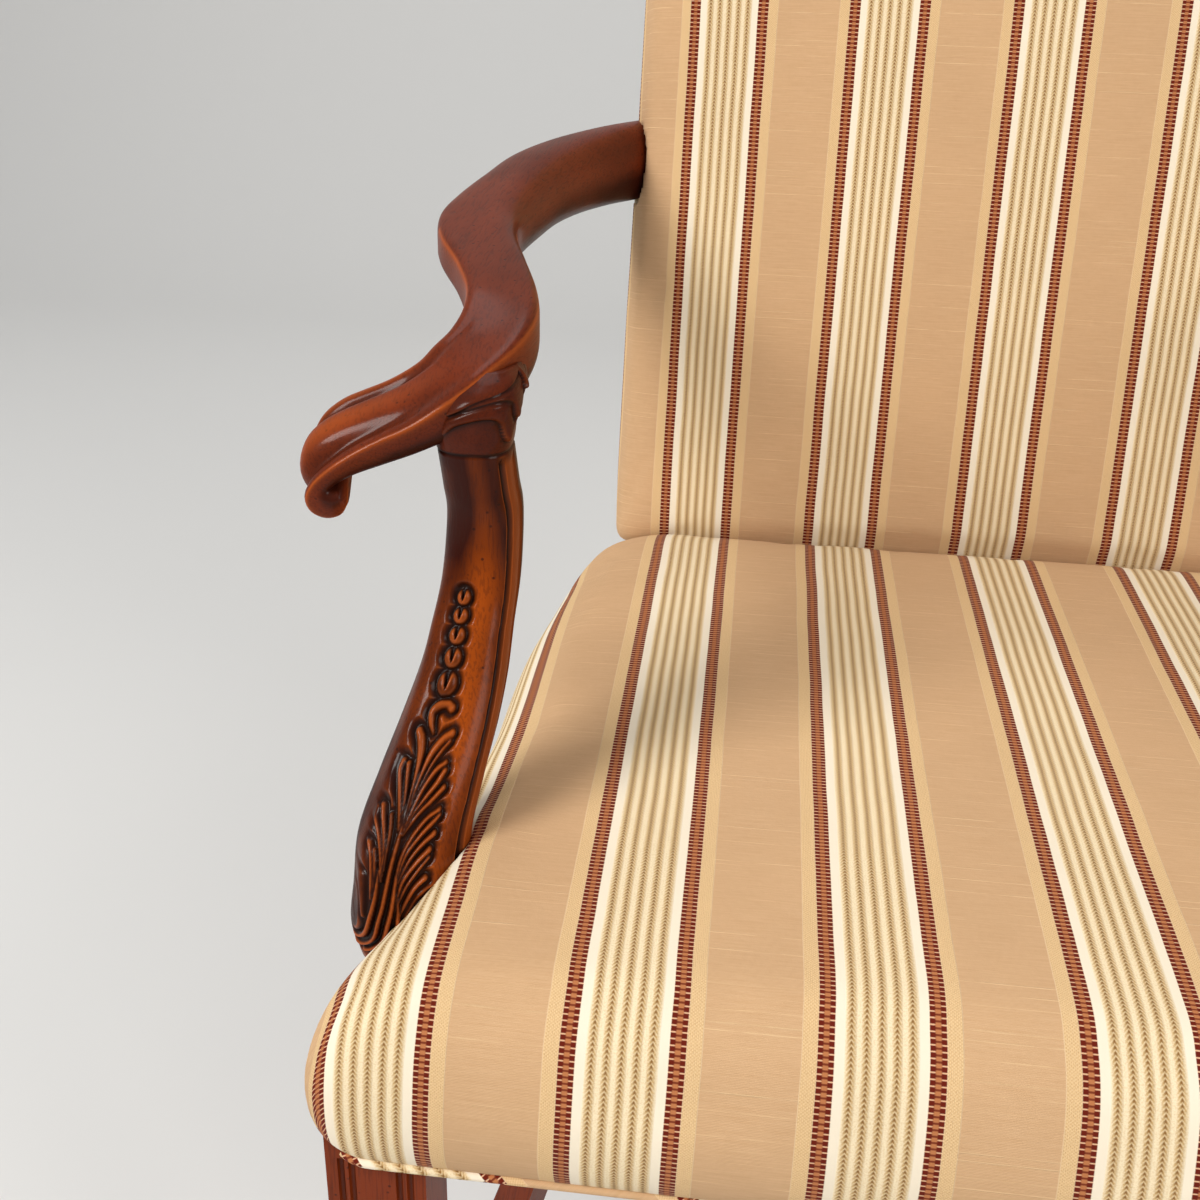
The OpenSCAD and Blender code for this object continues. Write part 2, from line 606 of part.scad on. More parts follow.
// The hand-hold: [share of its reach, height above the joint, width, thickness, heading share, share of the roll].
hand_run = [
    [-0.03, 28, 47, 35, 0.68, 0.6], [0.1, 23, 48, 26, 0.92, 0.8], [0.23, 20.5, 49, 19, 1, 0.9], [0.37, 15.6, 49, 16, 1, 1],
    [0.51, 11, 50, 14.5, 1, 1], [0.66, 6.5, 50, 13, 1, 1], [0.77, 3.2, 50, 12, 1, 1], [0.87, -3, 50, 11.5, 1, 1],
    [0.9, -9, 50, 12, 1, 1]];
volute_d = 20;
volute_w = 50;
volute_drop = 10.5; // from the joint down to the middle of the rolled end
arm_boss_h = 22;

function arm_x(share, bow) = -(post_x + (support_top_x - post_x) * share + arm_bow * bow);
arm_stations = concat(
    [[-(post_x - 10), arm_rear_y + 8, seat_h + arm_rear_z, 34, 46, 66, 0]],
    [for (s = arm_run) [arm_x(s[0], s[1]), arm_rear_y + (support_y - arm_rear_y) * s[0], seat_h + arm_rear_z + s[2], s[3], s[4], s[5], s[6] * hand_roll]],
    [for (s = hand_run) [hand_centre[0] + hand_way[0] * s[0] * hand_reach, hand_centre[1] + hand_way[1] * s[0] * hand_reach,
        arm_joint_z + s[1], s[2], s[3], s[4] * hand_angle, s[5] * hand_roll]]);

// Ring of the arm round the station c, square to the given slope along its heading and rolled.
function arm_ring(c, slope) = let (
    level = [cos(c[5]), -sin(c[5]), 0],
    ahead = [-sin(c[5]) * cos(slope), -cos(c[5]) * cos(slope), sin(slope)],
    below = cross(level, ahead),
    across = level * cos(c[6]) + below * sin(c[6]),
    up = below * cos(c[6]) - level * sin(c[6]))
    [for (p = rounded_square(c[3], c[4], 2.8)) [c[0], c[1], c[2]] + across * p[0] - up * p[1]];

function slope_at(s, i) = let (a = s[max(i - 1, 0)], b = s[min(i + 1, len(s) - 1)])
    atan2(b[2] - a[2], norm([b[0] - a[0], b[1] - a[1]]));

module arm_blank() {
    s = smooth(arm_stations, 4);
    skin([for (i = [0:len(s) - 1]) arm_ring(s[i], slope_at(s, i))]);
}

module arm(flip) mirrored_if(flip) color("sienna") difference() {
    union() {
        arm_blank();
        // the rolled end of the hand-hold
        translate([hand_centre[0], hand_centre[1], arm_joint_z - volute_drop])
            rotate([0, 0, 90 - hand_angle + 180]) translate([hand_reach - volute_d / 2, 0, 0])
                rotate([90 - hand_roll, 0, 0]) cylinder(d = volute_d, h = volute_w, center = true, $fn = 32);
        // the boss that comes down to the joint
        translate([-support_top_x, support_y, arm_joint_z]) linear_extrude(height = arm_boss_h)
            polygon(rounded_square(support_top_w, foot_d - 1, 2.8));
    }
    translate([-post_x, arm_rear_y - far / 2, seat_h]) cube(far);
    arm_dowel(screw_fit);
    left_arm_screws(screw_fit);
}

// Room for the arm's end in the side of the back's cover. The arm runs forward as it leaves the post,
// so the room is longer than the arm's end and lies a little further forward.
arm_pocket_room = [22, 5];
arm_pocket_shift = 4;
module arm_end_pockets() for (sx = [-1, 1])
    translate([sx * post_x, arm_rear_y - arm_pocket_shift, seat_h + arm_rear_z]) rotate([90, 0, 90])
        linear_extrude(height = 3 * back_side_t, center = true)
            polygon(rounded_square(arm_end_w + arm_pocket_room[0], arm_end_t + arm_pocket_room[1], 3));

// The support, from the joint down to its foot: [share of its height, share of the sweep,
// share of the way out to the foot, share of the widening].
support_run = [
    [0, 0, 0, 0], [0.147, -0.05, -0.17, 0.05], [0.289, 0.014, -0.11, 0.125], [0.408, 0.13, 0.055, 0.25],
    [0.508, 0.25, 0.2, 0.4], [0.609, 0.43, 0.44, 0.6], [0.718, 0.63, 0.72, 0.78],
    [0.827, 0.81, 1, 0.95], [0.924, 0.97, 1.01, 1], [1, 1, 1, 1]];

module support_blank() skin([for (s = smooth(support_run, 3)) let (
    x = support_top_x + (foot_x - support_top_x) * s[2],
    y = support_y - support_sweep * s[1],
    z = arm_joint_z - support_h * s[0])
    [for (p = rounded_square(support_top_w + (foot_w - support_top_w) * s[3], foot_d - 1 + s[3], 2.8)) [-p[0] - x, p[1] + y, z]]]);

module support_tenon_block(room) at_left_rail(foot_y) translate([rail_t / 2, 0, rail_top - support_tenon[2] / 2])
    cube([support_tenon[0] + 2 * room, support_tenon[1] + 2 * room, support_tenon[2] + 2 * room], center = true);

module arm_support(flip) mirrored_if(flip) color("chocolate") difference() {
    union() {
        support_blank();
        support_tenon_block(0);
    }
    arm_dowel(screw_fit);
    left_support_screws(screw_fit);
}

// Dowel through the left arm's joint; with room > 0 it is its hole.
module arm_dowel(room) translate([-support_top_x, support_y, arm_joint_z - dowel_l * 0.55 - room])
    cylinder(d = dowel_d + 2 * room, h = dowel_l + 2 * room, $fn = 32);
module arm_dowels() color("burlywood") for (flip = [false, true]) mirrored_if(flip) arm_dowel(0);

// Screws from the inner face of the left side rail into the support's tenon.
module left_support_screws(room) for (k = [-1, 1]) at_left_rail(foot_y)
    translate([rail_t, k * support_tenon[1] / 4, rail_top - support_tenon[2] / 2]) rotate([0, 0, 180])
        screw((rail_t + support_tenon[0]) / 2 - 1, room);
module arm_support_screws() color("goldenrod") for (flip = [false, true]) mirrored_if(flip) left_support_screws(0);

// Screws from the inner face of the left post into the end of the arm.
arm_screw_turn = 18;
arm_screw_grip = 17; // how far the screws reach into the arm
arm_screw_rise = 9;  // how far they lie above and below the arm's middle
module left_arm_screws(room) for (k = [-1, 1])
    translate([-post_in_x, arm_rear_y + post_w * tan(arm_screw_turn), seat_h + arm_rear_z + arm_screw_rise * k]) rotate([0, 0, 180 + arm_screw_turn])
        translate([1.5, 0, 0]) screw(post_w / cos(arm_screw_turn) + arm_screw_grip, room);
module arm_screws() color("goldenrod") for (flip = [false, true]) mirrored_if(flip) left_arm_screws(0);

// ---------- back upholstery ----------

// Wall of the back's cover: [how far it has come in, depth from its rear edge as a share of the whole].
back_wall = [[0, 0], [-1.5, 0.35], [-1.5, 0.6], [1, 0.8], [4, 0.9], [10, 0.965], [20, 0.99]];
back_inner_wall = [[0, 0.7], [3, 0.855], [12, 0.915], [24, 0.93]];
back_crown = 2;
back_middle = [0, (u_bottom + u_corner) / 2];

function back_outline(inset) = outline(back_half - inset, back_top_half - inset,
    u_bottom + inset, u_corner - inset, 8, back_corner_r, back_arch);
function inner_outline(inset) = outline(post_x + fit - inset, post_x + fit - inset,
    u_bottom + cover_t + inset, u_corner - cover_t - inset, 6, back_corner_r - cover_t, back_arch);

// Rings of the cavity inside the back's cover, from depth d0; room makes the padding smaller.
function inner_rings(d0, room) = let (
    rings = [for (l = back_inner_wall) lifted(inner_outline(l[0] + room), post_rear_n * l[1] - room)])
    concat([lifted(inner_outline(room), d0)], rings,
        crown_rings(rings[len(rings) - 1], back_middle, post_rear_n * 0.93 - room, post_rear_n * 0.01));

// Children drawn as (X, u, depth from the posts' rear face) stand in the back.
module on_back() in_back() translate([0, post_rear_n, 0]) rotate([90, 0, 0]) children();

module back_cover() color("tan") difference() {
    on_back() difference() {
        let (rings = [for (l = back_wall) lifted(back_outline(l[0]), l[1] * (post_rear_n - back_crown))])
            skin(concat(rings, crown_rings(rings[len(rings) - 1], back_middle, post_rear_n - back_crown, back_crown)));
        skin(inner_rings(-1, 0));
        // the posts come up through the lower edge
        translate([-post_x - fit, u_bottom - 20, -1]) cube([2 * (post_x + fit), 40, post_t + 1 + fit]);
    }
    arm_end_pockets();
}

module back_foam() color("khaki") on_back() skin(inner_rings(post_t + web_t + fit, fit));

module back_webbing() color("sienna") {
    span = crest_u + 10 - (lower_rail_u + lower_rail_h);
    for (i = [1:web_count_back])
        back_slab(back_foam_t - web_t, back_foam_t)
            translate([-post_x + 3, lower_rail_u + lower_rail_h + span * i / (web_count_back + 1) - web_w / 2])
                square([2 * post_x - 6, web_w]);
}

// Outside back: a leaning panel behind the posts and an upright apron behind the rear rail.
knee_u = (rail_top - seat_h + post_rear_n * sin(recline)) / cos(recline);
function panel_outline(out) = outline(post_x + out, back_top_half - welt_d - fit + out,
    knee_u, u_corner - welt_d - fit + out, 1, back_corner_r - welt_d + out, back_arch);

module outside_back_panel() color("tan") {
    back_slab(post_rear_n, post_rear_n + panel_t) polygon(panel_outline(0));
    translate([-post_x, post_rear_y, rail_z]) cube([2 * post_x, panel_t, rail_h]);
}

module back_welt() color("tan") in_back() translate([0, post_rear_n + welt_d / 2, 0]) rotate([90, 0, 0])
    cord([for (i = [corner_steps:3 * corner_steps + 3 * edge_steps]) [panel_outline(welt_out)[i][0], panel_outline(welt_out)[i][1], 0]], welt_d);

// ---------- glides ----------

module glide(x, y) translate([x, y, 0]) {
    cylinder(d = glide_d, h = glide_t, $fn = 32);
    cylinder(d = nail_d, h = glide_t + nail_l, $fn = 24);
}

module glides() color("silver") for (flip = [false, true]) mirrored_if(flip) {
    glide(-leg_mid_x, leg_mid_y);
    glide(post_w / 2 - post_x, post_front(0) + post_dy / 2);
}

front_leg(false);  // front_leg_left
front_leg(true);  // front_leg_right
rear_post(false);  // rear_post_left
rear_post(true);  // rear_post_right
front_rail();
rear_rail();
side_rail(false);  // side_rail_left
side_rail(true);  // side_rail_right
front_corner_block(false);  // corner_block_front_left
front_corner_block(true);  // corner_block_front_right
rear_corner_block(false);  // corner_block_rear_left
rear_corner_block(true);  // corner_block_rear_right
corner_block_screws();
side_stretcher(false);  // side_stretcher_left
side_stretcher(true);  // side_stretcher_right
cross_stretcher();
crest_rail();
lower_back_rail();
arm(false);  // arm_left
arm(true);  // arm_right
arm_support(false);  // arm_support_left
arm_support(true);  // arm_support_right
arm_dowels();
arm_support_screws();
arm_screws();
seat_webbing_lengthwise();
seat_webbing_crosswise();
seat_deck_cloth();
seat_foam();
seat_cover();
seat_welt();
dust_cover();
back_webbing();
back_foam();
back_cover();
outside_back_panel();
back_welt();
glides();
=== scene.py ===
# %% [markdown]
# # An open armchair with carved arms
# The chair is a mahogany frame with a padded, striped seat and a high padded back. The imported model
# gives every solid its true size and place. This script keeps the plain sticks of it as they are and
# gives them their finish, and works out the carved arms and the padded covers as new surfaces around it.
# Every new surface is a grid of points computed with numpy, so its shape can be read as a formula.

import json
import math

import bpy
import numpy as np
from mathutils import Matrix, Vector


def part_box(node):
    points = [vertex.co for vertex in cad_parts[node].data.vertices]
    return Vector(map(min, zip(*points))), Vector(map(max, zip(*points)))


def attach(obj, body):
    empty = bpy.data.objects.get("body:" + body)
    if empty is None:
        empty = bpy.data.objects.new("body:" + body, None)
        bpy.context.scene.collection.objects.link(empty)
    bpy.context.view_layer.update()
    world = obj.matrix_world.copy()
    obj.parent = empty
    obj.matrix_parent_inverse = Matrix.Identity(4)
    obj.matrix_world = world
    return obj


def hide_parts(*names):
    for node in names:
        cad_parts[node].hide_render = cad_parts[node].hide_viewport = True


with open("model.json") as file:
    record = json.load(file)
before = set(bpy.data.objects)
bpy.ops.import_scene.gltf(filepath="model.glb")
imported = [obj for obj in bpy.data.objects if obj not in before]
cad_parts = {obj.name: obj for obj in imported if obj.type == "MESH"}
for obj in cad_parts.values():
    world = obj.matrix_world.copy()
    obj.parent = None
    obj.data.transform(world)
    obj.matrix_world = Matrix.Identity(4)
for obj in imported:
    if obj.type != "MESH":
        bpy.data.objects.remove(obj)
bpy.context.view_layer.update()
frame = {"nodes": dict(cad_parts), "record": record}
mm = 0.001

# %% [markdown]
# ## The sizes that everything follows
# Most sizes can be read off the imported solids' boxes. A few are angles and lines that a box doesn't
# show, such as the lean of the back, and those are repeated here from the chair's drawing. Left and right
# are as seen when facing the chair: the left arm lies at -X, and the sitter looks along -Y. The crease is
# the line where the back's face meets the seat, and the crown is the seat's top.

# %% Main sizes, in metres
def node_box(name):
    """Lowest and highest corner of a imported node, as two numpy rows."""
    return np.array([list(corner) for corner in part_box(name)])


seat_box = node_box("seat_cover")
seat_h = seat_box[1, 2]
rail_z, rail_top = node_box("front_rail")[:, 2]
front_y = seat_box[0, 1]
post_x = node_box("rear_post_right")[1, 0]  # outer face of the right post
post_y = 183.2 * mm  # front face of the posts under the seat
post_rear_y = post_y + 34.67 * mm
crease_y = front_y + 495 * mm  # where the back's face meets the seat
recline = math.radians(11.3)
back_rear_n = 68 * mm  # thickness of the back
side_slope = 0.1534  # how much narrower the seat gets on each side per metre backwards
half_front = 321 * mm  # half the seat's width at its front
print("Seat crown", round(seat_h, 3), "crease", round(crease_y, 3), "rail tops", round(rail_top, 3))

# %% [markdown]
# ## Numpy surfaces as Blender meshes
# A grid of points with rows and columns is the simplest surface there is: the four neighbours of each
# cell are one quad. `grid_faces` numbers those quads for a whole grid at once, and `make_piece` puts points
# and faces into a mesh. A grid that runs round a shape is closed by joining its last column to its first,
# and a pole is closed with a fan of triangles to one middle point.

# %% Grid to mesh helpers
def grid_faces(rows, columns, closed):
    """Quads of a grid: each cell joins a point, its right neighbour and the two above them."""
    i, j = np.meshgrid(np.arange(rows - 1), np.arange(columns if closed else columns - 1), indexing="ij")
    right = (j + 1) % columns
    here, above = i * columns, (i + 1) * columns
    return np.stack([here + j, here + right, above + right, above + j], -1).reshape(-1, 4)


def fan(ring, centre, flip):
    """Triangles from every edge of a ring of point numbers to one middle point."""
    following = np.roll(ring, -1)
    triangles = np.stack([ring, following, np.full(len(ring), centre)], -1)
    return triangles[:, ::-1] if flip else triangles


def make_piece(name, points, faces, material, uv=None, values=None, smooth=True):
    """A mesh from an (n, 3) array of points and a list of face rows. uv and values are given per point."""
    mesh = bpy.data.meshes.new(name)
    mesh.from_pydata([tuple(p) for p in points.tolist()], [], [tuple(f) for f in faces])
    corner_point = np.empty(len(mesh.loops), dtype=np.int32)
    mesh.loops.foreach_get("vertex_index", corner_point)
    if uv is not None:
        layer = mesh.uv_layers.new(name="cloth")
        layer.data.foreach_set("uv", np.ascontiguousarray(uv[corner_point], dtype=np.float32).ravel())
    for key, value in (values or {}).items():
        mesh.attributes.new(key, "FLOAT", "POINT").data.foreach_set("value", value.astype(np.float32))
    mesh.polygons.foreach_set("use_smooth", np.full(len(mesh.polygons), smooth))
    mesh.materials.append(material)
    piece = bpy.data.objects.new(name, mesh)
    bpy.context.scene.collection.objects.link(piece)
    mesh.update()
    return piece


def mirrored(points):
    """The same points on the other side of the plane x = 0."""
    return points * np.array([-1, 1, 1])


def smoothstep(low, high, value):
    """0 below low, 1 above high, and a smooth S between them."""
    t = np.clip((value - low) / (high - low), 0, 1)
    return t * t * (3 - 2 * t)


def unit(vectors):
    """Vectors divided by their own lengths."""
    return vectors / np.maximum(np.linalg.norm(vectors, axis=-1, keepdims=True), 1e-12)


# %% [markdown]
# ## The camera
# The view is from a standing person's eye, close to the chair's left arm, looking down at it. The camera
# has a small roll as well, so its three axes are worked out from yaw, pitch and roll.

# %% Camera
yaw, pitch, roll = (math.radians(a) for a in (-5.93, 26.85, -1.66))
ahead = np.array([math.sin(yaw), math.cos(yaw), 0])
side = np.array([math.cos(yaw), -math.sin(yaw), 0])
up = np.array([0, 0, 1])
view = ahead * math.cos(pitch) - up * math.sin(pitch)
down = -up * math.cos(pitch) - ahead * math.sin(pitch)
right = side * math.cos(roll) + down * math.sin(roll)
down = down * math.cos(roll) - side * math.sin(roll)
camera = bpy.data.objects.new("camera", bpy.data.cameras.new("camera"))
camera.data.lens = 42
camera.data.sensor_width = 36
camera.location = (-168 * mm, crease_y - 880 * mm, seat_h + 378 * mm)
camera.rotation_euler = Matrix([right, -down, -view]).transposed().to_euler()
bpy.context.scene.collection.objects.link(camera)
bpy.context.scene.camera = camera
bpy.context.scene.view_settings.view_transform = "Standard"
print("Camera at", [round(c, 3) for c in camera.location])

# %% [markdown]
# ## Studio
# A plain pale floor that curves up into a backdrop, a soft sky from all round, a broad lamp from the left
# as from a window, and a weaker one from the right. The sky is what the lacquer reflects, so the camera
# sees a lighter one than the chair does, by way of Light Path.

# %% Floor, sky and lamps
def node_tree(owner):
    """Empty node tree of a material or world."""
    owner.use_nodes = True
    owner.node_tree.nodes.clear()
    return owner.node_tree


def as_input(socket, value):
    """Links value into a socket if it comes from a node, or sets it if it is a number or colour."""
    value = getattr(value, "socket", value)
    if isinstance(value, bpy.types.NodeSocket):
        socket.id_data.links.new(value, socket)
    else:
        socket.default_value = value


def feed(node, **values):
    """Sets or links a node's inputs by name or number, such as feed(shader, Base_Color=brown)."""
    for key, value in values.items():
        key = key.strip("_").replace("_", " ")
        as_input(node.inputs[int(key) if key.isdigit() else key], value)


def add_node(tree, kind, **settings):
    """A new node. A key such as in_0 or in_Vector sets or links that input, and the others set properties."""
    node = tree.nodes.new(kind)
    for key, value in settings.items():
        if key.startswith("in_"):
            feed(node, **{key[2:]: value})
        else:
            setattr(node, key, value)
    return node


def principled(name, **settings):
    """A material with one Principled shader, whose plain sockets are set by name, and that shader."""
    material = bpy.data.materials.new(name)
    tree = node_tree(material)
    shader = add_node(tree, "ShaderNodeBsdfPrincipled")
    feed(shader, **settings)
    add_node(tree, "ShaderNodeOutputMaterial", in_0=shader.outputs[0])
    return material, shader


studio = bpy.data.worlds.new("studio")
bpy.context.scene.world = studio
tree = node_tree(studio)
sky = add_node(tree, "ShaderNodeBackground", in_0=(0.93, 0.96, 1.0, 1), in_1=0.30)
seen = add_node(tree, "ShaderNodeBackground", in_0=(0.86, 0.86, 0.87, 1), in_1=0.9)
camera_ray = add_node(tree, "ShaderNodeLightPath").outputs["Is Camera Ray"]
pick = add_node(tree, "ShaderNodeMixShader", in_0=camera_ray, in_1=sky.outputs[0], in_2=seen.outputs[0])
add_node(tree, "ShaderNodeOutputWorld", in_0=pick.outputs[0])


def lamp(name, place, target, size, power, colour):
    """A square soft lamp at place, turned to face target."""
    data = bpy.data.lights.new(name, "AREA")
    data.size, data.energy, data.color = size, power, colour
    obj = bpy.data.objects.new(name, data)
    obj.location = place
    obj.rotation_euler = (Vector(target) - Vector(place)).to_track_quat("-Z", "Y").to_euler()
    bpy.context.scene.collection.objects.link(obj)


middle = (0, 0, 0.6)
lamp("window_lamp", (-2.3, -1.6, 2.6), middle, 1.3, 94, (1.0, 0.98, 0.95))
lamp("room_lamp", (2.4, -1.8, 2.2), middle, 1.8, 52, (1.0, 0.97, 0.93))
lamp("rear_lamp", (-1.0, 1.5, 3.3), middle, 1.6, 20, (0.94, 0.97, 1.0))

studio_floor, _ = principled("studio_floor", Base_Color=(0.76, 0.75, 0.73, 1), Roughness=0.7)

# The floor is a strip: flat below the chair, then a quarter circle, then an upright wall.
floor_half, bend = 4.5, 1.2
turn = np.linspace(0, math.pi / 2, 13)
strip_y = np.concatenate([[-4.0], 2.2 + bend * np.sin(turn), [2.2 + bend]])[:, None]
strip_z = np.concatenate([[0.0], bend * (1 - np.cos(turn)), [4.0]])[:, None]
strip = np.stack(np.broadcast_arrays([-floor_half, floor_half], strip_y, strip_z), -1)
floor = make_piece("studio_floor", strip.reshape(-1, 3), grid_faces(len(strip), 2, False), studio_floor)
print("Studio: three lamps and a floor", 2 * floor_half, "m wide")

# %% [markdown]
# ## The striped cloth
# The cover is a woven stripe that repeats every 98 mm: five rope-like lines on cream, a smooth cream
# strip on each side, a ladder of dark red squares, a pale gold border, and a plain tan ground with
# thick threads across it. It could be painted as an image, but a formula in the cloth's own
# coordinates stays sharp at any distance. The cloth's UV map is in metres on the flat cloth: u runs
# across the stripes and v along them. The class Value lets such a formula be written with plain signs.

# %% Formulas as nodes
class Value:
    """A node's output as a term of a formula: every sign or function put on it adds one Math node."""

    def __init__(self, socket):
        self.socket = socket

    def apply(self, operation, *values):
        """One Math node of the given values, or of this one alone."""
        node = add_node(self.socket.id_data, "ShaderNodeMath", operation=operation)
        for socket, value in zip(node.inputs, values or (self,)):
            as_input(socket, value)
        return Value(node.outputs[0])

    def __add__(self, other):
        return self.apply("ADD", self, other)

    def __sub__(self, other):
        return self.apply("SUBTRACT", self, other)

    def __rsub__(self, other):
        return self.apply("SUBTRACT", other, self)

    def __mul__(self, other):
        return self.apply("MULTIPLY", self, other)

    def __truediv__(self, other):
        return self.apply("DIVIDE", self, other)

    def __abs__(self):
        return self.apply("ABSOLUTE")

    __radd__, __rmul__ = __add__, __mul__

    def wave(self, length):
        """A sine that comes back every length of this value."""
        return (self * (2 * math.pi / length)).apply("SINE")

    def clipped(self):
        """The same value, kept between 0 and 1 by the node that it comes from."""
        self.socket.node.use_clamp = True
        return self

    def above(self, at, soft):
        """0 below at and 1 above it, with a straight ramp of width soft between them."""
        return ((self - (at - soft / 2)) * (1 / soft)).clipped()

    def below(self, at, soft):
        """1 below at and 0 above it."""
        return 1 - self.above(at, soft)

    def between(self, low, high, soft):
        """1 between low and high, and 0 outside them."""
        return self.above(low, soft) * self.below(high, soft)


# %% Colours, textures and vectors
def mix_colour(tree, share, first, second, blend="MIX"):
    """A colour between first and second."""
    node = add_node(tree, "ShaderNodeMix", data_type="RGBA", blend_type=blend)
    feed(node, _0=share, _6=first, _7=second)
    return node.outputs[2]


def srgb(red, green, blue):
    """A colour given as 0 to 255 screen values, turned into the linear values that a shader wants."""
    c = np.array([red, green, blue]) / 255
    return (*np.where(c <= 0.04045, c / 12.92, ((c + 0.055) / 1.055) ** 2.4).tolist(), 1.0)


def noise(vector, scale, detail=2.0, roughness=0.5):
    """Value of a noise texture, from 0 to 1."""
    node = add_node(vector.id_data, "ShaderNodeTexNoise")
    feed(node, Vector=vector, Scale=scale, Detail=detail, Roughness=roughness)
    return Value(node.outputs["Fac"])


def mapped(vector, **settings):
    """The vector through a Mapping node, whose Scale or Rotation draws out or turns the pattern on it."""
    return add_node(vector.id_data, "ShaderNodeMapping", in_Vector=vector, **settings).outputs[0]


def combined(first, second):
    """A vector with two values as its x and y."""
    return add_node(first.socket.id_data, "ShaderNodeCombineXYZ", in_0=first, in_1=second).outputs[0]


def parts(vector, kind="ShaderNodeSeparateXYZ"):
    """The parts of a vector or, with another kind of node, of a colour, as values."""
    return [Value(socket) for socket in add_node(vector.id_data, kind, in_0=vector).outputs]


# %% Node groups and relief
def new_group(name, inputs, outputs):
    """A shader node group with named sockets, whose inputs may have a value of their own.
    Returns the tree, its input node and its output node."""
    group = bpy.data.node_groups.new(name, "ShaderNodeTree")
    for label, kind, *value in inputs:
        socket = group.interface.new_socket(label, in_out="INPUT", socket_type=kind)
        if value:
            socket.default_value = value[0]
    for label, kind in outputs:
        group.interface.new_socket(label, in_out="OUTPUT", socket_type=kind)
    return group, add_node(group, "NodeGroupInput"), add_node(group, "NodeGroupOutput")


def bump_from(height, shader, distance=mm, strength=1.0):
    """Feeds a height, in units of distance, through a Bump node into the shader's normal."""
    node = add_node(shader.id_data, "ShaderNodeBump")
    feed(node, Strength=strength, Distance=distance, Height=height)
    feed(shader, Normal=node.outputs[0])


# %% [markdown]
# ### The stripe as a node group
# All sizes are in millimetres on the flat cloth, measured from the middle of a rope band. A zone is a mask
# that is 1 inside one part of the stripe, and each part is mixed over the last one by its zone.

# %% Sizes, colours and coordinates of the stripe
repeat, rope_pitch, ladder_at, rung = 98.0, 5.75, 21.0, 2.5
rope_end, satin_end, ladder_half, border_end = 13.9, 17.9, 3.2, 30.2
twist_pitch, twist_slant, rib_pitch, weft_pitch, thread_pitch = 2.05, 1.2, 0.75, 0.62, 5.5
blur, wander = 0.5, 0.9  # width of a zone's soft edge, and how far the stripes stray from straight
tan, cream, satin, border = srgb(213, 174, 133), srgb(244, 225, 189), srgb(243, 229, 205), srgb(230, 196, 148)
rope_gold, rope_dark = srgb(206, 162, 92), srgb(128, 86, 34)
ladder_red, ladder_orange, ladder_pale = srgb(104, 28, 12), srgb(186, 118, 74), srgb(226, 178, 140)

t, stripes_in, stripes_out = new_group(
    "ladder_stripe_cloth",
    [("Cloth", "NodeSocketVector")],
    [("Color", "NodeSocketColor"), ("Roughness", "NodeSocketFloat"), ("Height", "NodeSocketFloat")],
)
scaled = add_node(t, "ShaderNodeVectorMath", operation="SCALE", in_0=stripes_in.outputs[0], in_3=1000.0)
in_mm = scaled.outputs[0]
cloth_u, along, _ = parts(in_mm)
# The stripes wander a little to either side, as woven ones do.
across = cloth_u + (noise(in_mm, 0.02, 1.0) - 0.5) * wander
# Distance from the middle of the nearest rope band, with and without its sign.
local = (across / repeat + 0.5).apply("FRACT") * repeat - repeat / 2
off = abs(local)
print("One repeat of the stripe is", repeat, "mm")

# %% Rope lines on cream
# A rope is a gold cord whose V-shaped twists leave a dotted dark core.
line = abs(local - (local / rope_pitch).apply("ROUND") * rope_pitch)
twist_wave = abs(((along + line * twist_slant) / twist_pitch).apply("FRACT") * 2.0 - 1.0)
curls = noise(in_mm, 1.3, 2.0, 0.6)
rope_zone = off.below(rope_end, 0.6)
rope = line.below(1.6, 1.1) * rope_zone
core = line.below(0.55, 0.7) * rope
rope_shade = (rope * (twist_wave.above(0.48, 0.5) * 0.5 + 0.12 + (curls - 0.5) * 0.9)).clipped()
core_shade = core * (twist_wave.above(0.4, 0.5) * 0.7 + 0.14)
satin_zone = off.between(rope_end, satin_end, blur)
cloth = mix_colour(t, satin_zone, cream, satin)
cloth = mix_colour(t, rope_zone * (curls.above(0.55, 0.2) * 0.3), cloth, rope_gold)
cloth = mix_colour(t, rope * 0.36, cloth, rope_gold)
cloth = mix_colour(t, rope_shade, cloth, mix_colour(t, 0.35, rope_gold, rope_dark))
cloth = mix_colour(t, core_shade, cloth, rope_dark)

# %% Border and ground
rib, weft = across.wave(rib_pitch), along.wave(weft_pitch)
border_zone = off.between(ladder_at + ladder_half, border_end, blur)
ground_zone = off.above(border_end, blur)
border_rib = (off.wave(1.5) * along.wave(1.3) * 0.3 + 0.22 + (curls - 0.5) * 0.8).clipped()
cloth = mix_colour(t, border_zone, cloth, mix_colour(t, border_rib, border, srgb(198, 152, 98)))
# Thick threads across the ground: one in most cells of thread_pitch, broken into dashes.
cell = along / thread_pitch
cell_number = cell.apply("FLOOR")
which = combined(cell_number, (across / repeat).apply("FLOOR"))
chance = add_node(t, "ShaderNodeTexWhiteNoise", noise_dimensions="2D", in_0=which)
thread_place, thread_weight, _ = parts(chance.outputs["Color"], "ShaderNodeSeparateColor")
thread_off = abs(cell.apply("FRACT") - (thread_place * 0.7 + 0.15))
dashes = noise(combined(across * 0.045, cell_number * 7.3), 1.0, 3.0, 0.6).above(0.5, 0.22)
thread = thread_off.below(0.04, 0.05) * (dashes * thread_weight.above(0.5, 0.6)) * ground_zone
mottle = noise(in_mm, 0.35, 4.0, 0.7)
streaks = noise(mapped(in_mm, in_Scale=(0.05, 1.5, 1.0)), 1.0, 3.0, 0.7)
ground_share = (weft * 0.10 + mottle * 0.3 + (streaks - 0.42) * 1.1).clipped()
ground = mix_colour(t, ground_share, tan, srgb(190, 147, 103))
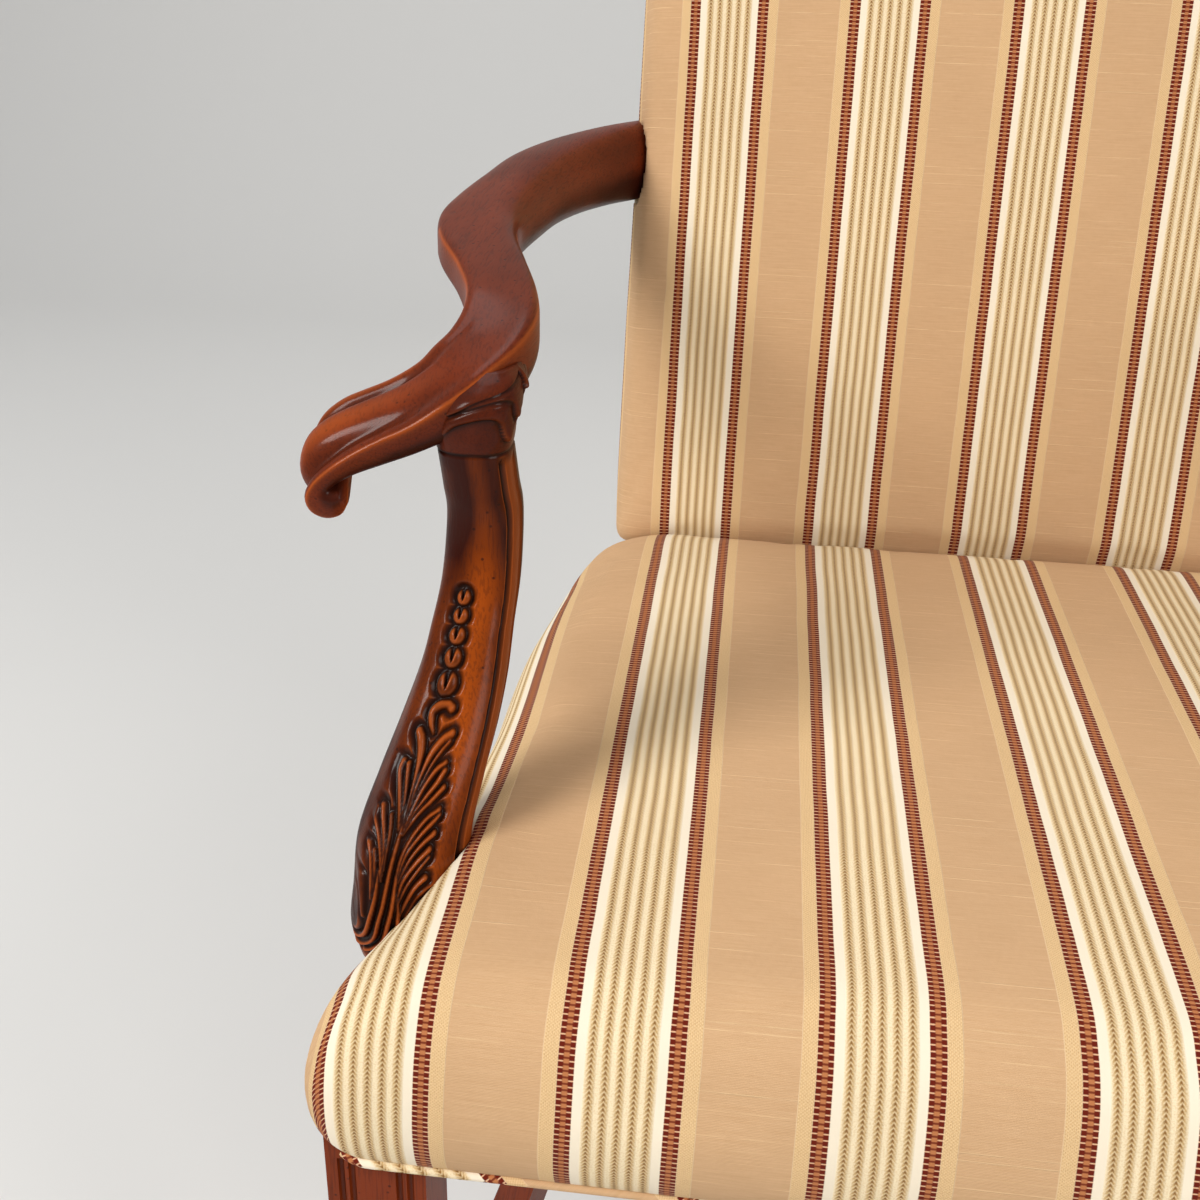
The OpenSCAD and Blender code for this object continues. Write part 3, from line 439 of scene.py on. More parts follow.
ground = mix_colour(t, thread * 0.6, ground, srgb(238, 204, 156))
cloth = mix_colour(t, ground_zone, cloth, ground)

# %% The ladder
# Red squares on both sides, joined by thin red rungs over orange.
ladder_zone = off.between(ladder_at - ladder_half, ladder_at + ladder_half, 0.35)
ladder_off = abs(off - ladder_at)
step_wave = abs((along / rung).apply("FRACT") - 0.5)
square = ladder_off.above(1.05, 0.5) * step_wave.below(0.385, 0.1)
ladder = mix_colour(t, ladder_off.above(1.3, 0.6), ladder_orange, ladder_pale)
ladder = mix_colour(t, step_wave.below(0.17, 0.12) * 0.85, ladder, ladder_red)
ladder = mix_colour(t, square, ladder, ladder_red)
cloth = mix_colour(t, ladder_zone, cloth, ladder)

# %% Tone, height and the cloth's material
# Slow changes of tone, as in any dyed yarn.
cloth = mix_colour(t, 1.0, cloth, noise(in_mm, 0.012, 3.0) * 0.16 + 0.92, "MULTIPLY")
# Height in millimetres: ropes and squares stand up, threads lie on the ground, and a fine weave is over all.
height = rope * (twist_wave * -0.22 + 0.42) + curls * (rope_zone + border_zone) * 0.3
height += square * ladder_zone * 0.14 + thread * 0.14
height += (weft * ground_zone + rib * border_zone) * 0.035 + mottle * 0.12
feed(stripes_out, Color=cloth, Roughness=0.9 - satin_zone * 0.25, Height=height)

striped, shader = principled("striped_cloth", Sheen_Weight=0.03, Sheen_Roughness=0.5, Specular_IOR_Level=0.15)
cloth_map = add_node(shader.id_data, "ShaderNodeUVMap", uv_map="cloth").outputs[0]
weave = add_node(shader.id_data, "ShaderNodeGroup", node_tree=t, in_0=cloth_map).outputs
feed(shader, Base_Color=weave["Color"], Roughness=weave["Roughness"])
bump_from(weave["Height"], shader)
print("Striped cloth: nodes", len(t.nodes))

# %% [markdown]
# ## The padded seat
# The seat is a thick pad pulled tight over the frame: nearly flat on top, well rounded at its edges, and
# full at the front, where the cover comes down to a welt. It could be sculpted by hand, but here it starts
# as a drum: a flat grid for the top, and rings that go over the edge and down the sides. Both share
# the same cloth coordinates, so the stripes run unbroken over the edge.

# %% A rounded outline and the grid inside it
def corner_arc(corner, previous, following, radius, shares):
    """Points and outward normals of the arc that rounds a corner, at the given shares of its turn."""
    way_in, way_out = unit(corner - previous), unit(following - corner)
    turn = math.acos(np.clip(way_in @ way_out, -1, 1))
    centre = corner - way_in * radius * math.tan(turn / 2) + np.array([-way_in[1], way_in[0]]) * radius
    angles = math.atan2(way_in[1], way_in[0]) - math.pi / 2 + turn * shares
    out = np.stack([np.cos(angles), np.sin(angles)], -1)
    return centre + radius * out, out


def rounded_outline(corners, radii, counts):
    """Closed outline of a polygon with rounded corners, anticlockwise, and its outward normals.
    Each side runs from the middle of one corner's arc to the middle of the next, in counts[k] equal
    steps, so that a grid with those counts fits inside."""
    n = len(corners)
    points, normals = [], []
    for k in range(n):
        here, following = corners[k], corners[(k + 1) % n]
        first = corner_arc(here, corners[k - 1], following, radii[k], np.linspace(0.5, 1, 9))
        last = corner_arc(following, here, corners[(k + 2) % n], radii[(k + 1) % n], np.linspace(0, 0.5, 9))
        path, out = (np.concatenate(pair) for pair in zip(first, last))
        run = np.concatenate([[0], np.cumsum(np.linalg.norm(np.diff(path, axis=0), axis=1))])
        at = np.linspace(0, run[-1], counts[k] + 1)[:-1]
        points.append(np.stack([np.interp(at, run, path[:, c]) for c in (0, 1)], -1))
        normals.append(np.stack([np.interp(at, run, out[:, c]) for c in (0, 1)], -1))
    return np.concatenate(points), unit(np.concatenate(normals))


def inset_corners(corners, inset):
    """The polygon with every side moved inwards by inset: each corner moves along both sides' normals."""
    edge = unit(np.roll(corners, -1, axis=0) - corners)
    out = np.stack([edge[:, 1], -edge[:, 0]], -1)
    before = np.roll(out, 1, axis=0)
    return corners - inset * (out + before) / (1 + (out * before).sum(1, keepdims=True))


def patch_inside(ring, across, along):
    """Grid of (along + 1, across + 1) points whose edge is the ring: each inner point is the sum of its
    places on the two straight lines between opposite edges, less its place on the four corners' plane."""
    front = ring[: across + 1]
    right_side = ring[across : across + along + 1]
    back = ring[across + along : 2 * across + along + 1][::-1]
    left_side = np.concatenate([ring[2 * across + along :], ring[:1]])[::-1]
    u = np.linspace(0, 1, across + 1)[None, :, None]
    v = np.linspace(0, 1, along + 1)[:, None, None]
    ruled = (1 - v) * front[None] + v * back[None] + (1 - u) * left_side[:, None] + u * right_side[:, None]
    plane = (1 - u) * (1 - v) * front[0] + u * (1 - v) * front[-1] + (1 - u) * v * back[0] + u * v * back[-1]
    return ruled - plane


def drum_faces(across, along, rings):
    """Faces of a patch of (along + 1, across + 1) points, followed by rings that start at its edge."""
    top = grid_faces(along + 1, across + 1, False)
    number = np.arange((across + 1) * (along + 1)).reshape(along + 1, across + 1)
    edge = np.concatenate([number[0, :-1], number[:-1, -1], number[-1, :0:-1], number[:0:-1, 0]])
    around = len(edge)
    first_ring = number.size + np.arange(around)
    wall = np.concatenate([edge[None], first_ring + around * np.arange(rings)[:, None]])
    following = np.roll(wall, -1, axis=1)
    walls = np.stack([wall[:-1], wall[1:], following[1:], following[:-1]], -1).reshape(-1, 4)
    return np.concatenate([top, walls]), wall


# %% A padded drum: patch, roll and wall
def dome(plan, height, middle, half, powers):
    """A low dome over plan points. In each direction the share is 1 - (distance from middle / half) ** 2,
    raised to its own power, and the dome is height times both shares."""
    share = np.clip(1 - ((plan - np.array(middle)) / np.array(half)) ** 2, 0, 1) ** np.array(powers)
    return height * share[:, 0] * share[:, 1]


def padded_drum(corners, radii, across, along, profile, top_z, crown, fold_at=None, belly=None):
    """Points, faces, cloth map and wall of a pad. profile rows are (how far outside the line, height, corner
    radius added), from the top patch's edge down. crown is what dome needs to know of the top.
    The cloth map is the plan on top. Down the wall it adds the distance along the way out, except
    round a front corner, where the cloth is folded at a slant of fold_at and runs straight ahead before it.
    belly gives a plan shift of the points of a ring at a height, and the map keeps the top ring's."""
    outlines = [rounded_outline(inset_corners(corners, -out), [r + more for r in radii], [across, along] * 2)
                for out, _, more in profile]
    swell = belly or (lambda ring, height: np.zeros_like(ring))
    top_ring = outlines[0][0] + swell(outlines[0][0], 0)
    patch = patch_inside(top_ring, across, along).reshape(-1, 2)
    heights = top_z + profile[:, 1]
    points = [np.column_stack([patch, top_z + dome(patch, *crown)])]
    points += [np.column_stack([ring + swell(ring, z - top_z), np.full(len(ring), z)])
               for (ring, _), z in zip(outlines[1:], heights[1:])]
    fall = np.concatenate([[0], np.cumsum(np.hypot(np.diff(profile[:, 0]), np.diff(profile[:, 1])))])
    map_rows = [patch]
    for (ring, out), (beyond, _, _), run in zip(outlines[1:], profile[1:], fall[1:]):
        plain = ring + swell(ring, 0) + out * (run - beyond + profile[0, 0])
        if fold_at is not None:
            faces_front = (out[:, 1] < -0.02) & (np.abs(out[:, 0]) < fold_at)
            folded = np.stack([ring[:, 0], plain[:, 1]], -1)
            share = smoothstep(4 * mm, 30 * mm, run)
            plain = np.where(faces_front[:, None], folded * share + plain * (1 - share), plain)
        map_rows.append(plain)
    faces, wall = drum_faces(across, along, len(profile) - 1)
    return np.concatenate(points), faces, np.concatenate(map_rows), wall


# %% The seat's form before it is stuffed
seat_across, seat_along = 104, 80
seat_front_line = front_y + 6 * mm
seat_rear_line = crease_y - 1.5 * mm
rear_x = half_front - (seat_rear_line - seat_front_line) * side_slope
seat_corners = np.array([[-half_front, seat_front_line], [half_front, seat_front_line],
                         [rear_x, seat_rear_line], [-rear_x, seat_rear_line]])
seat_profile = np.array([
    [-26, 0, 8], [-21.5, -0.5, 8], [-16.5, -1.9, 8], [-11.5, -4.4, 8], [-7, -8, 7], [-3, -13, 6],
    [0, -19, 4], [2.4, -26, 2], [4.1, -34, 1], [5.3, -42, 0], [5.6, -50, 0], [5.3, -58, 0],
    [4.2, -66, 0], [2.2, -73.5, 0], [-0.6, -79.5, 0], [-3.4, -83.4, 0]]) * mm
# The dome's height, its middle, its half-sizes and its powers.
seat_crown = (3.4 * mm, (0, (seat_front_line + seat_rear_line) / 2), (0.31, 0.25), (1, 0.5))
front_round, rear_round, crown_depth = 18 * mm, 34 * mm, 4 * mm
belly_depth, belly_from, belly_to = 13 * mm, 120 * mm, 235 * mm


def side_belly(ring, height):
    """The sides swell out between the supports and the posts, and come back to the frame at the welt."""
    y = ring[:, 1] - crease_y
    along = smoothstep(-290 * mm, -150 * mm, y) * smoothstep(30 * mm, -70 * mm, y)
    outer = smoothstep(belly_from, belly_to, np.abs(ring[:, 0]))
    push = belly_depth * along * smoothstep(-80 * mm, -46 * mm, height) * outer
    return np.stack([np.sign(ring[:, 0]) * push, np.zeros_like(push)], -1)


seat_points, seat_faces, seat_uv, seat_wall = padded_drum(
    seat_corners, [front_round, front_round, rear_round, rear_round], seat_across, seat_along, seat_profile,
    seat_h - crown_depth, seat_crown, fold_at=0.8, belly=side_belly)
print("Seat form:", len(seat_points), "points,", len(seat_faces), "faces")

# %% [markdown]
# ### Stuffing by simulation
# Cloth under a little air pressure swells between its seams much as foam fills a cover. The rows that are
# tacked to the frame are held, gravity is off, and the result is limited to a few millimetres, so that the
# pad keeps its box.

# %% Cloth pressure on a grid that keeps its cloth map
def points_of(mesh):
    """All points of a mesh as an (n, 3) array."""
    flat = np.empty(len(mesh.vertices) * 3)
    mesh.vertices.foreach_get("co", flat)
    return flat.reshape(-1, 3)


def set_points(piece, points):
    """Writes an (n, 3) array back as the points of a piece's mesh."""
    piece.data.vertices.foreach_set("co", points.ravel())
    piece.data.update()


def stuff(piece, held, limit, pressure, frames=20):
    """Runs the cloth solver on a piece, with the held points pinned, and keeps each point within limit."""
    group = piece.vertex_groups.new(name="seam")
    group.add([int(i) for i in held], 1.0, "REPLACE")
    before = points_of(piece.data)
    solver = piece.modifiers.new("stuffing", "CLOTH")
    settings = solver.settings
    # A stiff, light cloth: it swells between its seams and hardly stretches.
    settings.quality = 7
    settings.mass = 0.35
    settings.tension_stiffness = settings.compression_stiffness = 28
    settings.shear_stiffness = 12
    settings.bending_stiffness = 1.2
    settings.use_pressure = True
    settings.uniform_pressure_force = pressure
    settings.effector_weights.gravity = 0
    settings.vertex_group_mass = "seam"
    settings.air_damping = 4
    solver.collision_settings.use_self_collision = False
    scene = bpy.context.scene
    for number in range(1, frames + 1):
        scene.frame_set(number)
    move = points_of(piece.evaluated_get(bpy.context.evaluated_depsgraph_get()).data) - before
    length = np.linalg.norm(move, axis=1, keepdims=True)
    move *= np.where(length > 0, limit * np.tanh(length / limit) / np.maximum(length, 1e-9), 0)
    piece.modifiers.remove(solver)
    set_points(piece, before + move)
    scene.frame_set(1)
    return float(np.linalg.norm(move, axis=1).max())


def settle(piece, change):
    """Applies one level of subdivision to the piece for good, then moves its points by change(points)."""
    modifier = piece.modifiers.new("rounder", "SUBSURF")
    modifier.levels = modifier.render_levels = 1
    finer = bpy.data.meshes.new_from_object(piece.evaluated_get(bpy.context.evaluated_depsgraph_get()))
    piece.modifiers.clear()
    piece.data = finer
    set_points(piece, change(points_of(piece.data)))


# %% Stuff the seat and fit it round the arm supports
foot_centre = np.array([-299.6 * mm, crease_y - 389.5 * mm])
foot_turn = math.radians(24)
foot_axes = np.array([[math.cos(foot_turn), math.sin(foot_turn)],  # inwards
                      [math.sin(foot_turn), -math.cos(foot_turn)]])  # and forwards
foot_half_width, foot_half_front, foot_half_rear = 26 * mm, 24 * mm, 15 * mm
foot_slope, foot_slope_from, foot_slope_reach = 0.377, 18 * mm, 30 * mm


def foot_measure(offset, height, room):
    """Below 1 inside the left foot's outline and above 1 outside it. The outline is a superellipse with a
    power and a half-size for each quarter; offset is a plan vector from the foot's middle, which moves
    backwards above the crown's height less 18 mm, as the support slopes."""
    slide = foot_slope * np.clip(height - seat_h + foot_slope_from, 0, foot_slope_reach)
    offset = offset - np.stack([np.zeros_like(slide), slide], -1)
    inward, forward = offset @ foot_axes[0], offset @ foot_axes[1]
    half_depth = np.where(forward > 0, foot_half_front, foot_half_rear) + room
    power = np.where(forward > 0, np.where(inward > 0, 2.05, 3.8), 3.0)
    across = np.abs(inward / (foot_half_width + room)) ** power
    return (across + np.abs(forward / half_depth) ** power) ** (1 / power)


def clear_of_feet(points):
    """Pushes the cover off each support's foot: a point inside the foot's outline moves to it, straight away
    from a centre near the foot's outer edge. The cloth is crowded up a little on the foot's inner side, and
    drawn down outside and in front of it, because it is pulled tight round the cut for the foot."""
    points = points.copy()
    for side in (-1, 1):
        plan = points[:, :2] * np.array([-side, 1])
        pull_from = foot_centre + foot_axes[0] * -15 * mm
        way = unit(plan - pull_from)
        # Distance from that centre to the outline along the way, by halving.
        low, high = np.zeros(len(points)), np.full(len(points), 0.08)
        for _ in range(18):
            half = (low + high) / 2
            inside = foot_measure(pull_from + way * half[:, None] - foot_centre, points[:, 2], -0.5 * mm) < 1
            low, high = np.where(inside, half, low), np.where(inside, high, half)
        away = np.linalg.norm(plan - pull_from, axis=1)
        near = (away < low) & (points[:, 2] > rail_top - 14 * mm)
        plan[near] = pull_from + way[near] * low[near, None]
        points[:, :2] = plan * np.array([-side, 1])
        gap = np.clip(np.maximum(away, low) - low, 0, None)
        bunched = np.exp(-(gap / (22 * mm)) ** 2) * smoothstep(-300 * mm, -284 * mm, plan[:, 0])
        points[:, 2] += 3.5 * mm * bunched * smoothstep(seat_h - 40 * mm, seat_h - 10 * mm, points[:, 2])
        outer = smoothstep(-268 * mm, -300 * mm, plan[:, 0])
        outer = outer * smoothstep(crease_y - 380 * mm, crease_y - 405 * mm, plan[:, 1])
        drawn = outer * np.exp(-(gap / (30 * mm)) ** 1.5)
        points[:, 2] -= 10 * mm * drawn * smoothstep(seat_h - 60 * mm, seat_h - 20 * mm, points[:, 2])
    return points


seat = make_piece("seat_upholstery", seat_points, seat_faces, striped, uv=seat_uv)
moved = stuff(seat, seat_wall[-1], 3 * mm, 2.0)
settle(seat, clear_of_feet)
print("The seat's cloth moved by up to", round(moved * 1000, 1), "mm")
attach(seat, "root")
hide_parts("seat_cover", "seat_foam")

# %% [markdown]
# ## The padded back
# The back is a thin pad in an open frame, square at its edges and arched along its top. It is the same
# kind of drum as the seat, laid in a frame that leans back: x across, u up the slope and n backwards from
# the front face. The drum's "height" is then minus n.

# %% The leaning frame
def from_back(x, u, n):
    """Points of the back's own frame in the chair's frame: u goes up the slope and n backwards."""
    y = crease_y + n * math.cos(recline) + u * math.sin(recline)
    return np.stack([x, y, seat_h - n * math.sin(recline) + u * math.cos(recline)], -1)


back_half, back_taper, back_arch = post_x + 13.5 * mm, 5 * mm, 26 * mm
u_bottom, u_corner = -25.5 * mm, 545.07 * mm
back_across, back_along = 84, 92
back_top_half = back_half - back_taper
back_corners = np.array([[-back_half, u_bottom], [back_half, u_bottom],
                         [back_top_half, u_corner], [-back_top_half, u_corner]])
# The last three rows turn the cover in behind the pad, where it is tacked.
back_profile = np.array([
    [-24, 0, 0], [-18, -0.15, 0], [-12.5, -0.7, 0], [-8, -1.9, 0], [-4.6, -3.9, 0], [-2.2, -7, 0],
    [-0.5, -11.5, 0], [0.6, -18, 0], [1.2, -26, 0], [1.5, -34, 0], [1.4, -42, 0], [1.0, -50, 0],
    [0.4, -57.5, 0], [-0.4, -62.5, 0], [-1.6, -65.4, 0],
    [-3.6, -66.5, 0], [-7, -66.6, 0], [-11, -66.4, 0]]) * mm
turned_in = 3
back_crown = (2.2 * mm, (0, 0.26), (0.235, 0.30), (1, 1))
back_rounds = [8 * mm, 8 * mm, 24 * mm, 24 * mm]


def arched(points):
    """Lifts the top edge by an arch, fading out down the last 60 mm, in the back's own frame."""
    share = smoothstep(u_corner - 60 * mm, u_corner - 4 * mm, points[:, 1])
    share = share * np.clip(1 - (points[:, 0] / back_top_half) ** 2, 0, 1)
    return points + np.outer(share * back_arch, [0, 1, 0])


back_drum, back_faces, back_uv, back_wall = padded_drum(
    back_corners, back_rounds, back_across, back_along, back_profile, -back_crown[0], back_crown)
back_drum = arched(back_drum)
back_points = from_back(back_drum[:, 0], back_drum[:, 1], -back_drum[:, 2])


# %% Stuff the back and let the arms into its sides
arm_end_up, arm_end_n = 217 * mm, 45.9 * mm  # the arm's end, above the crown and behind the back's face
arm_end_y = crease_y + arm_end_n * math.cos(recline) + arm_end_up * math.tan(recline)
pocket_middle = np.array([arm_end_y - 7 * mm, seat_h + arm_end_up])
pocket_half = np.array([27 * mm, 23.4 * mm])


def clear_of_arms(points):
    """Sinks a pocket in each side of the back for the arm's end: points inside the arm's rounded outline
    move in to the post's face."""
    points = points.copy()
    local = (points[:, 1:] - pocket_middle) / pocket_half
    inside = ((np.abs(local) ** 3).sum(1) < 1) & (np.abs(points[:, 0]) > post_x)
    points[inside, 0] = np.sign(points[inside, 0]) * (post_x + 0.4 * mm)
    return points


back = make_piece("back_upholstery", back_points, back_faces, striped, uv=back_uv)
moved = stuff(back, back_wall[-turned_in:].ravel(), 2.5 * mm, 1.6)
settle(back, clear_of_arms)
print("The back's cloth moved by up to", round(moved * 1000, 1), "mm")
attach(back, "root")
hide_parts("back_cover", "back_foam")

# %% [markdown]
# ## Welts
# A welt is a cord in a sleeve of the same cloth, cut on the slant. One closes the seat's lower edge, and
# one goes round the outside back. Each is a tube along a path: a circle of points is set across the path at
# each station, on two axes at right angles to it.

# %% A tube along a path
def tube(path, radius, sides, plane_normal):
    """Points (stations, sides, 3) of a round tube. plane_normal is a direction that the path never takes."""
    way = unit(np.gradient(path, axis=0))
    first = unit(np.cross(way, plane_normal))
    second = np.cross(way, first)
    angle = np.linspace(0, 2 * math.pi, sides, endpoint=False)[None, :, None]
    return path[:, None] + radius * (np.cos(angle) * first[:, None] + np.sin(angle) * second[:, None])


def resample(path, step):
    """The same path with stations at an even distance of about step."""
    run = np.concatenate([[0], np.cumsum(np.linalg.norm(np.diff(path, axis=0), axis=1))])
    at = np.linspace(0, run[-1], max(3, int(run[-1] / step)))
    return np.stack([np.interp(at, run, path[:, c]) for c in range(3)], -1), at


welt_r = 2.3 * mm


def end_fans(count, sides, flip):
    """Triangles that close both ends of a tube of count rings, to two points that come after all rings."""
    first, last = np.arange(sides), (count - 1) * sides + np.arange(sides)
    return np.concatenate([fan(first, count * sides, not flip), fan(last, count * sides + 1, flip)])


def welt(name, path, plane_normal, node):
    """A striped welt along a path. Its cloth lies on the slant, so the stripes cross it at 45 degrees."""
    sides, slant_share = 12, 0.7071
    path, at = resample(path, 3 * mm)
    rings = tube(path, welt_r, sides, plane_normal)
    around = np.arange(sides) / sides * 2 * math.pi * welt_r
    # The map's seam would smear one row, so the map folds back half way round.
    around = np.minimum(around, 2 * math.pi * welt_r - around)
    slant = np.stack([(at[:, None] + around) * slant_share, (at[:, None] - around) * slant_share], -1)
    count = len(path)
    points = np.concatenate([rings.reshape(-1, 3), path[:1], path[-1:]])
    uv = np.concatenate([slant.reshape(-1, 2), slant[0, :1], slant[-1, :1]])
    faces = grid_faces(count, sides, True).tolist() + end_fans(count, sides, False).tolist()
    piece = make_piece(name, points, faces, striped, uv=uv)
    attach(piece, "root")
    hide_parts(node)


# %% The two welts
frame_front = front_y + 10.3 * mm


def frame_x(y):
    """Half-width of the seat frame at y."""
    return half_front - 4.3 * mm - (y - seat_front_line) * side_slope


# Round the seat: down one side from the post, round the front corner and across the front.
off_frame, corner_r = welt_r + 0.3 * mm, 20 * mm
arc_from = frame_front - off_frame + corner_r
side_y = np.linspace(post_y, arc_from, 60)
arc = np.linspace(math.pi, 1.5 * math.pi, 14)
arc_x = corner_r * np.cos(arc) - (frame_x(arc_from) + off_frame - corner_r)
path_x = np.concatenate([-(frame_x(side_y) + off_frame), arc_x])
path_y = np.concatenate([side_y, arc_from + corner_r * np.sin(arc)])
half_path = np.column_stack([path_x, path_y, np.full(len(path_x), rail_z + welt_r)])
welt("seat_edge_welt", np.concatenate([half_path, mirrored(half_path[::-1])]), up, "seat_welt")

# Round the outside back, in the back's frame, a little inside its edge.
rebate, panel_bottom = 2.5 * mm, -24 * mm
panel_top_half, panel_top = back_top_half - 4.9 * mm, u_corner - 4.9 * mm
panel_corners = np.array([[-post_x, panel_bottom], [post_x, panel_bottom],
                          [panel_top_half, panel_top], [-panel_top_half, panel_top]])
welt_rounds = [3 * mm, 3 * mm, 20 * mm, 20 * mm]
ring, _ = rounded_outline(inset_corners(panel_corners, -rebate), welt_rounds, [60, 80, 60, 80])
ring = arched(np.column_stack([ring, np.zeros(len(ring))]))
# The outline starts at a lower corner. The welt starts past the lower edge and stops before it.
ring = np.roll(ring, -62, axis=0)[:216]
ring = ring[ring[:, 1] > u_bottom + 1 * mm]
backwards = from_back(0, 0, 1.0) - from_back(0, 0, 0)
ring = from_back(ring[:, 0], ring[:, 1], np.full(len(ring), back_rear_n + welt_r))
welt("outside_back_welt", ring, backwards, "back_welt")
print("Welts: radius", round(welt_r * 1000, 1), "mm, round the seat and round the outside back")

# %% [markdown]
# ## Aged mahogany
# The show wood is mahogany stained red-brown, with an orange glow painted where the light falls and painted
# shade where the wood turns away from it, a near-black glaze left in every recess, edges rubbed back to a
# lighter orange, and small flicked dark specks. A clear semi-gloss lacquer lies over all of it. Recesses,
# rubbed edges and the painted light and shade follow the carving, so each piece carries them as three point
# attributes: the glaze, which on the boss also holds a painted shadow under each leaf; the wear, which on the
# support also holds a painted highlight beside its groove; and the painted light and shade. One node group
# paints them. Plain sticks have no such attributes and read zero.

# %% The mahogany group
wood_inputs = [("Vector", "NodeSocketVector"), ("Bright", "NodeSocketColor"), ("Deep", "NodeSocketColor"),
               ("Glaze", "NodeSocketFloat", 0.0), ("Wear", "NodeSocketFloat", 0.0),
               ("Tone", "NodeSocketFloat", 0.0), ("Specks", "NodeSocketFloat", 1.0)]
wood_outputs = [("Colour", "NodeSocketColor"), ("Roughness", "NodeSocketFloat"),
                ("Height", "NodeSocketFloat")]
m, wood_in, wood_out = new_group("aged_mahogany", wood_inputs, wood_outputs)
place = wood_in.outputs["Vector"]
glaze_and_shadow_in, wear_and_highlight_in, painted_shading_in, specks_in = (Value(socket) for socket in wood_in.outputs[3:7])
# Long figure: slow bands that follow the grain. The vector comes in with the grain along Z.
figure = noise(mapped(place, in_Scale=(38, 38, 3.2)), 1.0, 4.0, 0.55)
pores = noise(mapped(place, in_Scale=(900, 900, 38)), 1.0, 2.0, 0.5)
cloudy = noise(place, 21.0, 3.0, 0.5)
# The painted light and shade, with the figure and the cloudy noise, sets how far the colour goes from bright
# to deep.
depth = (painted_shading_in + (figure - 0.5) * 0.9 + (cloudy - 0.5) * 0.7).clipped()
colour = mix_colour(m, depth, wood_in.outputs["Bright"], wood_in.outputs["Deep"])
pore_mask = pores.above(0.56, 0.1) * 0.30
colour = mix_colour(m, pore_mask, colour, srgb(48, 20, 12))
# Specks: small round cells of a Voronoi pattern, kept only where a slow noise is high.
speck_cells = add_node(m, "ShaderNodeTexVoronoi", in_Vector=place, in_Scale=210.0, in_Randomness=1.0)
dots = Value(speck_cells.outputs["Distance"]).below(0.14, 0.10)
speck_mask = dots * noise(place, 95.0, 1.0, 0.4).above(0.53, 0.05) * (specks_in * 0.75)
colour = mix_colour(m, speck_mask, colour, srgb(38, 16, 9))
# Lighter orange on rubbed edges, and in the painted highlight beside the support's groove.
rub_and_highlight = (wear_and_highlight_in * (cloudy * 0.6 + 0.45)).clipped()
colour = mix_colour(m, rub_and_highlight, colour, srgb(188, 92, 34))
# Near-black in the glaze, and on the boss in the painted shadow under each leaf.
colour = mix_colour(m, glaze_and_shadow_in, colour, srgb(30, 15, 10))
feed(wood_out, Colour=colour, Roughness=cloudy * 0.14 + glaze_and_shadow_in * 0.05 + 0.36)
feed(wood_out, Height=cloudy * 0.6 - (pore_mask + speck_mask * 0.5))
print("Mahogany group: nodes", len(m.nodes))


# %% A finish made from the group
def object_place(shader):
    """Object coordinates in a material's tree."""
    return add_node(shader.id_data, "ShaderNodeTexCoord").outputs["Object"]


def mahogany_finish(name, turn, bright, deep, attributes=True):
    """A lacquered mahogany whose grain runs along the axis that turn brings to Z."""
    material, shader = principled(name, IOR=1.5, Specular_IOR_Level=0.03)
    feed(shader, Coat_Weight=0.2, Coat_Roughness=0.17)
    tree = shader.id_data
    turned = mapped(object_place(shader), in_Rotation=turn)
    wood = add_node(tree, "ShaderNodeGroup", node_tree=m, in_Vector=turned, in_Bright=bright, in_Deep=deep)
    # Glaze (with a painted shadow on the boss), wear (with a painted highlight on the support), and painted
    # light and shade.
    if attributes:
        for key in ("glaze", "wear", "tone"):
            reader = add_node(tree, "ShaderNodeAttribute", attribute_name=key)
            as_input(wood.inputs[key.capitalize()], reader.outputs["Fac"])
    feed(shader, Base_Color=wood.outputs["Colour"], Roughness=wood.outputs["Roughness"])
    bump_from(wood.outputs["Height"], shader, 0.25 * mm, 0.5)
    return material


quarter = math.pi / 2
upright_wood = mahogany_finish("carved_mahogany", (0, 0, 0), srgb(160, 70, 10), srgb(50, 12, 2))
arm_wood = mahogany_finish("arm_mahogany", (quarter, 0, 0), srgb(122, 48, 20), srgb(52, 17, 8))
print("Two carved finishes are ready:", upright_wood.name, "and", arm_wood.name)

# %% [markdown]
# ## Carved arm supports
# Each support is one curved stick. It leaves the arm at the joint almost round, bends back and then
# sweeps forward and outward as it widens towards the foot. Its front is carved in low relief: a string of
# five husks, a hooked bud, and a spray of acanthus leaves that springs from stems at the foot. A narrow
# groove follows its inner edge. The stick is a swept grid, and the relief is a height added along each
# point's normal. The height is a function of two distances on the front: p across it, towards
# the seat, and q above the seat's crown.

# %% Smooth rows and sections
def smooth_rows(rows, count):
    """Catmull-Rom curve through the rows of a table: each piece is the cubic whose slopes at its ends
    are half the difference of the neighbours. Steps are even in the first three columns' distance."""
    rows = np.asarray(rows, dtype=float)
    padded = np.concatenate([2 * rows[:1] - rows[1:2], rows, 2 * rows[-1:] - rows[-2:-1]])
    piece = np.repeat(np.arange(len(rows) - 1), 24)
    t = np.tile(np.linspace(0, 1, 24, endpoint=False), len(rows) - 1)[:, None]
    a, b, c, d = (padded[piece + k] for k in range(4))
    bend, twist = 2 * a - 5 * b + 4 * c - d, 3 * b - a - 3 * c + d
    dense = 0.5 * (2 * b + (c - a) * t + bend * t ** 2 + twist * t ** 3)
    dense = np.concatenate([dense, rows[-1:]])
    run = np.concatenate([[0], np.cumsum(np.linalg.norm(np.diff(dense[:, :3], axis=0), axis=1))])
    at = np.linspace(0, run[-1], count)
    return np.stack([np.interp(at, run, dense[:, k]) for k in range(dense.shape[1])], -1)


